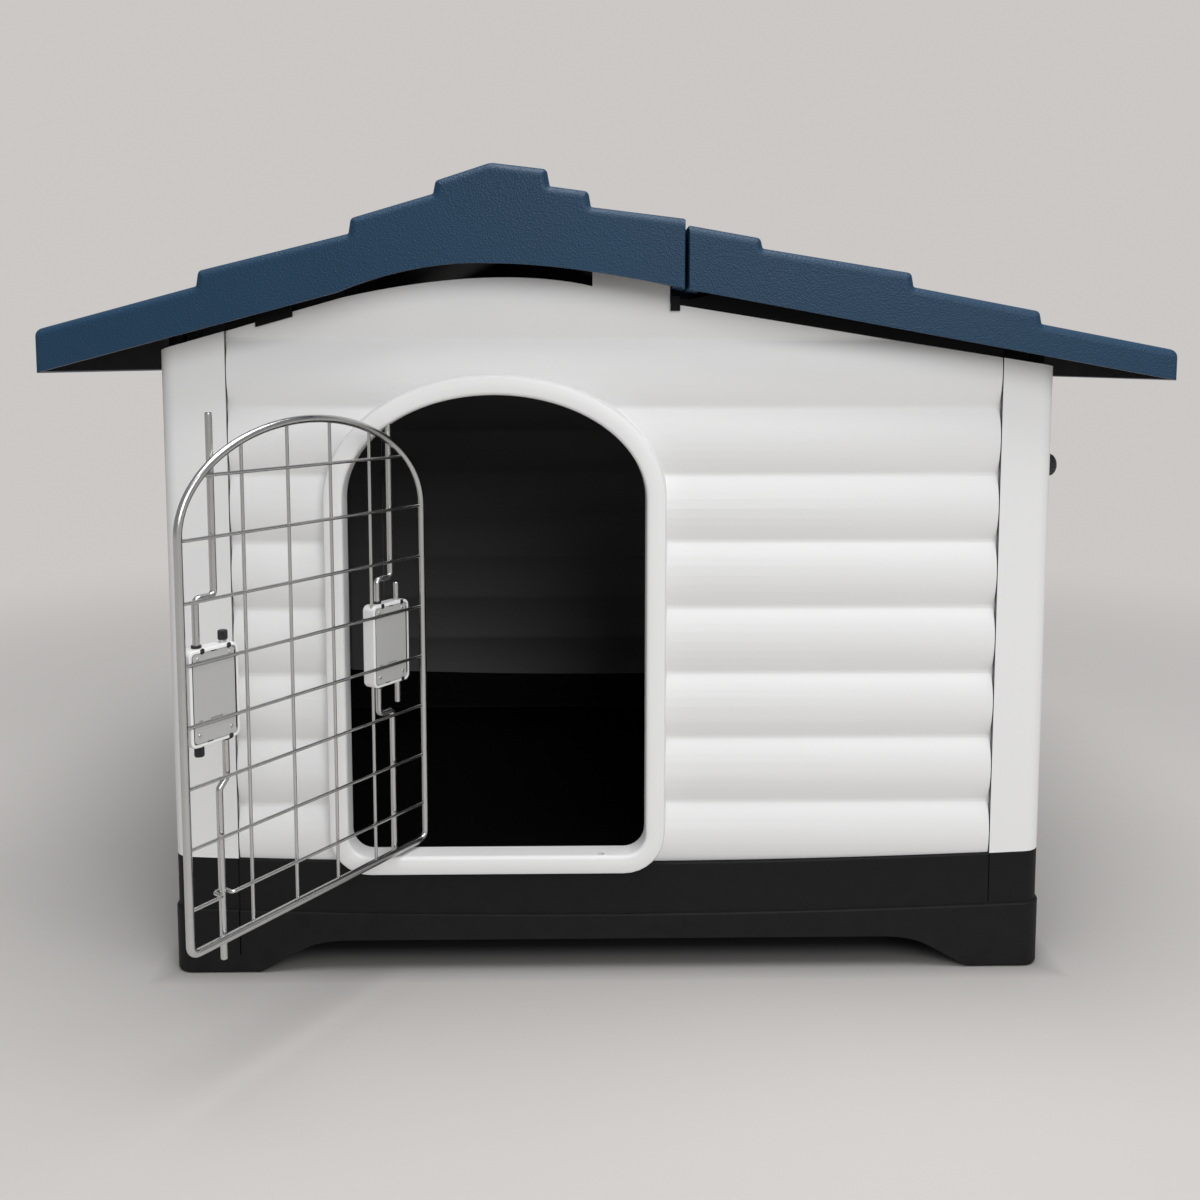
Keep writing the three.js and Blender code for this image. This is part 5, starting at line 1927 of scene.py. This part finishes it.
@dataclass
class WireDoor:
    """The wire door with its two latches, in its own frame: X to the free edge, Y inwards, Z up."""

    hinge_x: float = -181.2
    hinge_y: float = -4.6
    open_angle: float = 124.5
    outline: Opening = Opening(86.7, 118.5, 109.5, 398.5, 76.0, 7.0)
    frame_wire: float = 3.0
    mesh_wire: float = 1.3
    bars: int = 8
    lowest_bar: float = 31.5
    highest_bar: float = 34.6
    uprights: int = 4
    upright_pitch: float = 41.6
    bolt: float = 2.5
    bolt_top: float = 482.5
    bolt_bottom: float = 91.5
    bend: float = 4.0
    lean: float = 3.5
    guide_bend: float = 2.4
    case_size: tuple[float, float] = (41.0, 68.0)
    case_drop: float = 3.3
    case_shift: float = 6.0
    case_depth: float = 6.6
    case_wall: float = 2.2
    case_corner: float = 5.0
    channel_shift: float = 4.5
    channel_offset: float = 11.0
    plate_thickness: float = 3.3
    plate_sunk: float = 0.4
    plate_side_gap: float = 1.0
    cap: tuple[float, float, float] = (3.4, 7.0, 5.0)

    def __post_init__(self) -> None:
        """Works out the planes and heights that the pieces share."""
        turn = Matrix.Rotation(math.radians(-self.open_angle), 4, "Z")
        stand = Matrix.Translation((self.hinge_x, HOUSE_FRONT + self.hinge_y, 0))
        self.place = Matrix.Scale(MM, 4) @ stand @ turn
        self.plane = self.bolt + self.frame_wire + GAP
        self.upright_plane = self.plane - 2 * self.mesh_wire - GAP
        first = self.outline.bottom + self.lowest_bar
        last = self.outline.spring + self.outline.rise - self.highest_bar
        self.bar_heights = [first + (last - first) * i / (self.bars - 1) for i in range(self.bars)]
        middle = (first + last) / 2 - self.case_drop
        self.case_bottom, self.case_top = middle - self.case_size[1] / 2, middle + self.case_size[1] / 2
        self.latches = (
            Latch("hinge", 0.0, True, 1, 1, 19.8, 24.0, 15.0, 19.0),
            Latch("free", 2 * self.outline.centre, False, 1, -1, 34.0, 33.0, 6.5, 6.5),
        )

    def channel(self, latch: Latch, side: int) -> float:
        """X of one of a latch's two leg channels."""
        return latch.x + self.channel_shift + side * self.channel_offset

    def wire(
        self,
        name: str,
        points: Sequence[Point],
        radius: float,
        bend: float,
        nodes: Sequence[str],
        body: str,
        kit: Kit,
        closed: bool = False,
        tip: float = 0.0,
    ) -> None:
        """Makes and dresses one bent wire.

        Args:
            name: The piece's name.
            points: Its corners.
            radius: Of the wire.
            bend: Rounding at the corners.
            nodes: The CAD nodes that it stands for.
            body: The body that it rides on.
            kit: The recipes and materials.
            closed: Whether it is a loop.
            tip: Length of the rounded ends, or 0 for square ones.
        """
        path = path_object(name, points, self.place, closed, tip)
        kit.recipes.wire.apply(path, kit.wire, Radius=radius * MM, Bend=bend * MM, Sides=20)
        Maker.dress(path, body, Slot.WIRE, kit.wire, nodes, smooth=60.0)

    def half_length(self, z: float) -> float:
        """Half the length of a bar at a height, to just inside the frame wire's skin."""
        share = max(0.0, z - self.outline.spring) / self.outline.rise
        return self.outline.half_width * math.sqrt(1 - share * share) - self.frame_wire * 0.8

    def build_grid(self, kit: Kit) -> None:
        """The frame wire, the bars and the uprights.

        Args:
            kit: The recipes and materials.
        """
        loop = [(x, self.plane, z) for x, z in self.outline.points(head_steps=64)]
        self.wire("door_frame_wire", loop, self.frame_wire, 0.0, ["door_frame"], "door", kit, closed=True)
        middle, y = self.outline.centre, self.plane
        for i, z in enumerate(self.bar_heights, 1):
            half = self.half_length(z)
            points: list[Point] = [(middle - half, y, z), (middle + half, y, z)]
            if i == 1:
                clear = self.bolt + GAP + self.mesh_wire
                bolt = self.latches[1].x
                loops = [
                    (bolt - clear, y, z), (bolt - clear, -clear, z), (bolt + clear, -clear, z),
                    (bolt + clear, y, z),
                ]
                points[1:1] = loops
            self.wire(
                f"door_bar_wire_{i}", points, self.mesh_wire, self.guide_bend, [f"door_bar_{i}"], "door", kit
            )
        for i in range(self.uprights):
            x = middle + (i - (self.uprights - 1) / 2) * self.upright_pitch
            share = (x - middle) / self.outline.half_width
            top = self.outline.spring + self.outline.rise * math.sqrt(
                1 - share * share
            ) - self.frame_wire * 0.6
            ends = [
                (x, self.upright_plane, self.outline.bottom + self.frame_wire * 0.6),
                (x, self.upright_plane, top),
            ]
            self.wire(
                f"door_upright_wire_{i + 1}",
                ends,
                self.mesh_wire,
                0.0,
                [f"door_upright_{i + 1}"],
                "door",
                kit,
            )

    def bolt_path(self, latch: Latch, lift: int) -> list[Point]:
        """A bolt's corners: straight end, crank to its channel, then through the case or turned in it.

        Args:
            latch: Its latch.
            lift: 1 for the upper bolt, -1 for the lower one.

        Returns:
            The corners.
        """
        near, far = (self.case_top, self.case_bottom) if lift > 0 else (self.case_bottom, self.case_top)
        crank, tail, leg = (
            (latch.upper_crank, latch.upper_tail, latch.upper_leg)
            if lift > 0
            else (latch.lower_crank, latch.lower_tail, latch.lower_leg)
        )
        x, end = self.channel(latch, leg), self.bolt_top if lift > 0 else self.bolt_bottom
        lean = self.lean if abs(x - latch.x) < 2.5 * self.bend else 0.0
        step = [(latch.x, 0, near + lift * (crank + lean)), (x, 0, near + lift * (crank - lean))]
        points: list[Point] = [(latch.x, 0, end), *step]
        if latch.turned:
            turn, other = near - lift * (self.case_wall + GAP + self.bolt), self.channel(latch, -leg)
            return [*points, (x, 0, turn), (other, 0, turn), (other, 0, near + lift * tail)]
        return [*points, (x, 0, far - lift * tail)]

    def build_bolts(self, latch: Latch, kit: Kit) -> None:
        """A latch's two bolts, and the fluted caps on straight bolts' tails.

        Args:
            latch: The latch.
            kit: The recipes and materials.
        """
        for where, lift in (("upper", 1), ("lower", -1)):
            points = self.bolt_path(latch, lift)
            body = f"bolt_{latch.side}_{where}"
            name = f"{latch.side}_{where}_bolt"
            self.wire(f"{name}_wire", points, self.bolt, self.bend, [name], body, kit, tip=1.2)
            if latch.turned:
                continue
            radius, length, socket = self.cap
            x, _, tip = points[-1]
            ends = [(x, 0, tip - lift * (length - socket)), (x, 0, tip + lift * socket)]
            cap = path_object(f"{name}_grip", ends, self.place, tip=0.8)
            kit.recipes.ribbed.apply(cap, kit.cap, Radius=radius * MM, Depth=0.35 * MM, Ribs=18)
            Maker.dress(cap, body, Slot.BLACK, kit.cap, [f"{latch.side}_{where}_cap"], smooth=25.0)

    def grooves(self, middle: float) -> list[Piece]:
        """Room for the bars that are sunk into a case's back.

        Args:
            middle: X of the case's middle.

        Returns:
            The blocks to cut away.
        """
        half, reach = self.case_size[0] / 2 + LAP, self.mesh_wire + 0.15
        crossing = [z for z in self.bar_heights if self.case_bottom < z < self.case_top]
        depth = (self.plane - reach, self.case_depth + LAP)
        return [
            Maker.block((middle - half, middle + half), depth, (z - reach, z + reach), self.place)
            for z in crossing
        ]

    def case_rings(
        self,
        middle: float,
        half: float,
        low: float,
        high: float,
        corner: float,
        levels: Sequence[tuple[float, float]],
    ) -> Rings:
        """Rings of a rounded rectangle at several depths, each with its own inset.

        Args:
            middle: X of the case's middle.
            half: Half of its width.
            low: Its lower edge.
            high: Its upper edge.
            corner: Radius of its corners.
            levels: Pairs of Y and inset.

        Returns:
            The rings.
        """
        return [
            upright_ring(
                rounded_rectangle(
                    middle - half + by, middle + half - by, low + by, high - by, max(0.3, corner - by)
                ),
                y,
            )
            for y, by in levels
        ]

    def build_case(self, latch: Latch, kit: Kit) -> None:
        """A latch's white case: rounded outside, hollow, with its channels and slots.

        Args:
            latch: The latch.
            kit: The recipes and materials.
        """
        middle, half, deep = latch.x + self.case_shift, self.case_size[0] / 2, self.case_depth
        levels = [
            (-deep, 2.6), (-deep + 0.4, 1.4), (-deep + 1.2, 0.5), (-deep + 2.6, 0.0), (deep - 1.0, 0.0),
            (deep - 0.3, 0.3), (deep, 1.0),
        ]
        rings = self.case_rings(middle, half, self.case_bottom, self.case_top, self.case_corner, levels)
        case = Maker.loft(f"{latch.side}_latch_shell", rings, self.place)
        wall = self.case_wall
        cavity = self.case_rings(
            middle,
            half - wall,
            self.case_bottom + wall,
            self.case_top - wall,
            self.case_corner - wall,
            [(wall - deep, 0.0), (deep + LAP, 0.0)],
        )
        Maker.cut(case, Maker.loft("cavity", cavity, self.place))
        if latch.turned:
            z = (self.case_bottom + self.case_top) / 2
            reach = half - wall + LAP
            Maker.add(
                case,
                Maker.block(
                    (middle - reach, middle + reach),
                    (-deep + 1, deep - self.plate_sunk - self.plate_thickness - GAP),
                    (z - 1, z + 1),
                    self.place,
                ),
            )
        for side in (-1, 1):
            for z0, z1 in (
                (self.case_bottom - LAP, self.case_bottom + wall + LAP),
                (self.case_top - wall - LAP, self.case_top + LAP),
            ):
                Maker.cut(case, Maker.post(self.channel(latch, side), 0, self.bolt + 0.4, z0, z1, self.place))
        Maker.cut(case, *self.grooves(middle))
        Maker.dress(case, Body.DOOR, Slot.WHITE, kit.case, [f"{latch.side}_latch_case"], flat_faced=True)

    def build_plate(self, latch: Latch, kit: Kit) -> None:
        """A latch's grey back plate, with the bars sunk across it and its moulded slots.

        Args:
            latch: The latch.
            kit: The recipes and materials.
        """
        middle, wall = latch.x + self.case_shift, self.case_wall
        face = self.case_depth - self.plate_sunk
        half = self.case_size[0] / 2 - wall - self.plate_side_gap
        low, high = self.case_bottom + wall + GAP, self.case_top - wall - GAP
        levels = [(face - self.plate_thickness, 0.0), (face - 0.5, 0.0), (face - 0.15, 0.15), (face, 0.5)]
        plate = Maker.loft(
            f"{latch.side}_latch_cover", self.case_rings(middle, half, low, high, 3.4, levels), self.place
        )
        Maker.cut(plate, *self.grooves(middle))
        lower, upper = (z for z in self.bar_heights if self.case_bottom < z < self.case_top)
        for x0, x1, z in ((-6.0, 4.0, lower + 2.4), (10.5, 13.5, lower + 2.2)):
            Maker.cut(
                plate,
                Maker.block(
                    (middle + x0, middle + x1), (face - 1.2, face + LAP), (z - 0.5, z + 0.5), self.place
                ),
            )
        tab = Maker.block(
            (middle + 3.0, middle + 10.0), (face - LAP, face + 0.35), (upper - 4.4, upper - 2.2), self.place
        )
        Maker.bevel(tab, 0.3)
        Maker.add(plate, tab)
        Maker.dress(plate, Body.DOOR, Slot.GREY, kit.plate, [f"{latch.side}_latch_plate"], flat_faced=True)

    def build_studs(self, latch: Latch, kit: Kit) -> None:
        """The plate's four screws, the dark plugs where the legs enter the case, and black blocks of painted
        shade in the latch's gaps and slots.

        Args:
            latch: The latch.
            kit: The recipes and materials.
        """
        middle, face = latch.x + self.case_shift, self.case_depth - self.plate_sunk
        half = self.case_size[0] / 2 - self.case_wall
        # Painted shade: black blocks in the gaps on both sides of the plate, and in two small slots at the
        # case's top and bottom.
        slots = [(middle - half + 0.15, middle - half + 1.0, self.case_bottom + 6, self.case_top - 6)]
        slots.append((middle + half - 1.0, middle + half - 0.15, self.case_bottom + 6, self.case_top - 6))
        slots.append((middle - 2.2, middle + 2.2, self.case_top - 3.0, self.case_top - 1.3))
        slots.append((middle + 2.5, middle + 6.9, self.case_bottom + 1.3, self.case_bottom + 3.0))
        for i, (x0, x1, z0, z1) in enumerate(slots, 1):
            dark = Maker.block((x0, x1), (face - 1.0, face + (0.12 if i > 2 else -0.1)), (z0, z1), self.place)
            dark.name = f"{latch.side}_latch_slot_{i}"
            Maker.dress(dark, Body.DOOR, Slot.BLACK, kit.trim)
        out = (self.place.to_3x3() @ Vector((0, 1, 0))).normalized()
        screws = [
            (middle + x, face + 0.1, z)
            for x in (-13.2, 13.2) for z in (self.case_bottom + 8.4, self.case_top - 6.4)
        ]
        plugs = [(self.channel(latch, side), face + 0.2, self.case_top - 1.5) for side in (-1, 1)]
        plugs.append((self.channel(latch, -1), face + 0.2, self.case_bottom + 1.5))
        sets = (
            ("screws", screws, 1.3, 0.4, kit.steel, Slot.SPRING),
            ("plugs", plugs, 2.1, 0.5, kit.cap, Slot.BLACK),
        )
        for name, points, radius, height, material, slot in sets:
            spots = path_object(f"{latch.side}_latch_{name}", points, self.place)
            facing = spots.data.attributes.new("facing", "FLOAT_VECTOR", "POINT")
            facing.data.foreach_set("vector", [value for _ in points for value in out])
            kit.recipes.studs.apply(spots, material, Radius=radius * MM, Height=height * MM)
            Maker.dress(spots, Body.DOOR, slot, material)

    def build(self, kit: Kit) -> None:
        """Makes and dresses the whole door.

        Args:
            kit: The recipes and materials.
        """
        self.build_grid(kit)
        for latch in self.latches:
            self.build_bolts(latch, kit)
            self.build_case(latch, kit)
            self.build_plate(latch, kit)
            self.build_studs(latch, kit)


# ---- Carried-over CAD pieces ----


def dress_cad_nodes(kit: Kit) -> None:
    """Gives the CAD meshes that stay their surfaces: rails, pins, springs and bushings.

    Args:
        kit: The recipes and materials.
    """
    for name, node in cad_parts.items():
        if name.endswith("_rail"):
            material = kit.trim
        elif name.endswith("_bushing"):
            material = kit.cap
        elif name.endswith(("_pin", "_spring")):
            material = kit.steel
        else:
            continue
        for slot in node.material_slots:
            slot.material = material
        LOG.info("%s: CAD mesh with %s", name, material.name)


# ---- Studio ----


@dataclass
class Studio:
    """The camera of the photograph, a pale sweep and soft lamps."""

    focal: float = 1140.6
    image: float = 1200.0
    horizon: float = 461.0
    camera_at: tuple[float, float, float] = (-23.3, -933.3, 517.0)
    pitch: float = -4.98
    yaw: float = -0.91
    sweep: float = 9.0
    floor_color: tuple[float, float, float] = (0.51, 0.492, 0.478)
    # Painted shadow under the house: its colour, and where it fades out beyond the base's edge, in metres.
    dim: tuple[float, float] = (0.05, -0.012)
    backdrop: tuple[float, float, float] = (0.595, 0.575, 0.56)
    ambient: float = 0.3
    fade: tuple[float, float] = (0.6, 2.1)
    lamp_size: float = 1.9
    lamp_aim: Point = (0.0, -0.2, 0.3)
    overhead: tuple[Point, float] = ((0.1, -0.5, 2.9), 72.0)
    front_fill: tuple[Point, float] = ((0.95, -3.0, 1.9), 50.0)

    def build_camera(self) -> None:
        """Sets the camera where the photograph was taken from."""
        lens = bpy.data.cameras.new("photo_camera")
        lens.sensor_width = 36.0
        lens.lens = lens.sensor_width * self.focal / self.image
        lens.shift_y = (self.horizon - self.image / 2) / self.image
        lens.clip_start = 0.05
        camera = linked("photo_camera", lens)
        x, y, z = self.camera_at
        camera.location = (x * MM, (HOUSE_FRONT + y) * MM, z * MM)
        camera.rotation_euler = (math.radians(90 + self.pitch), 0.0, math.radians(self.yaw))
        bpy.context.scene.camera = camera

    def build_floor(self) -> None:
        """A large floor that fades into the backdrop's colour far from the house, with a shadow painted under
        the house.
        """
        reach = self.sweep
        mesh = bpy.data.meshes.new("floor")
        mesh.from_pydata(
            [(-reach, -reach, 0), (reach, -reach, 0), (reach, reach, 0), (-reach, reach, 0)],
            [],
            [(0, 1, 2, 3)],
        )
        floor = linked("floor", mesh)
        surface = bpy.data.materials.new("pale floor")
        surface.use_nodes = True
        graph = Graph(surface.node_tree)
        shader = surface.node_tree.nodes["Principled BSDF"]
        shader.inputs["Roughness"].default_value = 0.6
        spot = graph.add("ShaderNodeTexCoord").outputs["Object"]
        spread = graph.add("ShaderNodeSeparateXYZ", {0: spot}).outputs
        # Painted shadow: the floor's colour darkens under the base's footprint and fades out just past its
        # edge.
        low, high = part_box("base_tray")
        sides = []
        for axis in (0, 1):
            middle, half = (low[axis] + high[axis]) / 2, (high[axis] - low[axis]) / 2
            sides.append(
                graph.math(
                    "SUBTRACT", graph.math("ABSOLUTE", graph.math("SUBTRACT", spread[axis], middle)), half
                ),
            )
        outside = graph.math("MAXIMUM", *sides)
        clear = graph.add(
            "ShaderNodeMapRange",
            {"Value": outside, "From Min": self.dim[1] - 0.03, "From Max": self.dim[1] + 0.03},
        )
        shade = graph.add(
            "ShaderNodeMix",
            {"Factor": clear.outputs[0], "A": (*[self.dim[0]] * 3, 1.0), "B": (*self.floor_color, 1.0)},
            {"data_type": "RGBA"},
        )
        surface.node_tree.links.new(shade.outputs[2], shader.inputs["Base Color"])
        shader.inputs["Specular IOR Level"].default_value = 0.2
        glow = graph.add("ShaderNodeEmission", {"Color": (*self.backdrop, 1.0)})
        away = graph.add("ShaderNodeVectorMath", {0: spot}, {"operation": "LENGTH"}).outputs["Value"]
        far = graph.add(
            "ShaderNodeMapRange",
            {"Value": away, "From Min": self.fade[0], "From Max": self.fade[1]},
            {"interpolation_type": "SMOOTHSTEP"},
        )
        rays = graph.add("ShaderNodeLightPath")
        seen = graph.math("MAXIMUM", rays.outputs["Is Camera Ray"], rays.outputs["Is Glossy Ray"])
        mixed = graph.add(
            "ShaderNodeMixShader",
            {0: graph.math("MULTIPLY", far.outputs[0], seen), 1: shader.outputs[0], 2: glow.outputs[0]},
        )
        surface.node_tree.links.new(
            mixed.outputs[0], surface.node_tree.nodes["Material Output"].inputs["Surface"]
        )
        mesh.materials.append(surface)

    def build_world(self) -> None:
        """Soft even light all round, with the backdrop's colour behind the house."""
        world = bpy.data.worlds.new("studio")
        world.use_nodes = True
        bpy.context.scene.world = world
        graph = Graph(world.node_tree)
        shown = world.node_tree.nodes["Background"]
        shown.inputs[0].default_value = (*self.backdrop, 1.0)
        shown.inputs[1].default_value = 1.0
        lit = graph.add("ShaderNodeBackground", {0: (0.98, 0.99, 1.0, 1.0), 1: self.ambient})
        rays = graph.add("ShaderNodeLightPath")
        seen = graph.math("MAXIMUM", rays.outputs["Is Camera Ray"], rays.outputs["Is Transmission Ray"])
        mixed = graph.add("ShaderNodeMixShader", {0: seen, 1: lit.outputs[0], 2: shown.outputs[0]})
        world.node_tree.links.new(mixed.outputs[0], world.node_tree.nodes["World Output"].inputs["Surface"])

    def lamp(self, name: str, at: Point, power: float) -> None:
        """A square soft lamp at a place in metres, aimed at the house.

        Args:
            name: The lamp's name.
            at: Its place.
            power: Its power in watts.
        """
        light = bpy.data.lights.new(name, "AREA")
        light.size = self.lamp_size
        light.energy = power
        lamp = linked(name, light)
        lamp.location = at
        lamp.rotation_euler = (Vector(self.lamp_aim) - Vector(at)).to_track_quat("-Z", "Y").to_euler()

    def build(self) -> None:
        """Sets up the whole studio."""
        self.build_camera()
        self.build_floor()
        self.build_world()
        self.lamp("overhead", *self.overhead)
        self.lamp("front fill", *self.front_fill)
        bpy.context.scene.view_settings.view_transform = "Standard"


# ---- Everything in order ----


def main() -> None:
    logging.basicConfig(level=logging.INFO, format="%(name)s %(message)s")
    Studio().build()
    kit, logs = Kit(), LogPattern()
    walls = GableWalls(SHAPE, logs, DOORWAY)
    walls.build("front_log_wall", HOUSE_PLACE, True, kit)
    back = HOUSE_PLACE @ Matrix.Translation((0, SHAPE.depth, 0)) @ Matrix.Diagonal((1, -1, 1, 1))
    walls.build("back_log_wall", back, False, kit)
    sides = SideWalls(SHAPE, logs)
    sides.build("left_wall", -1, SHAPE.strip_left, Body.HOUSE, kit)
    sides.build("right_wall", 1, SHAPE.strip_right, Body.HATCH, kit)
    RoofClip(SHAPE).build("front_roof_clip", HOUSE_PLACE, kit)
    RoofClip(SHAPE).build("back_roof_clip", back, kit)
    Base(SHAPE).build(kit)
    Roof().build(kit)
    knob = Knob(SHAPE)
    knob.build("front_knob", knob.inset, Body.FRONT_KNOB, kit)
    knob.build("back_knob", SHAPE.depth - knob.inset, Body.BACK_KNOB, kit)
    WireDoor().build(kit)
    dress_cad_nodes(kit)


if __name__ == "__main__":
    main()
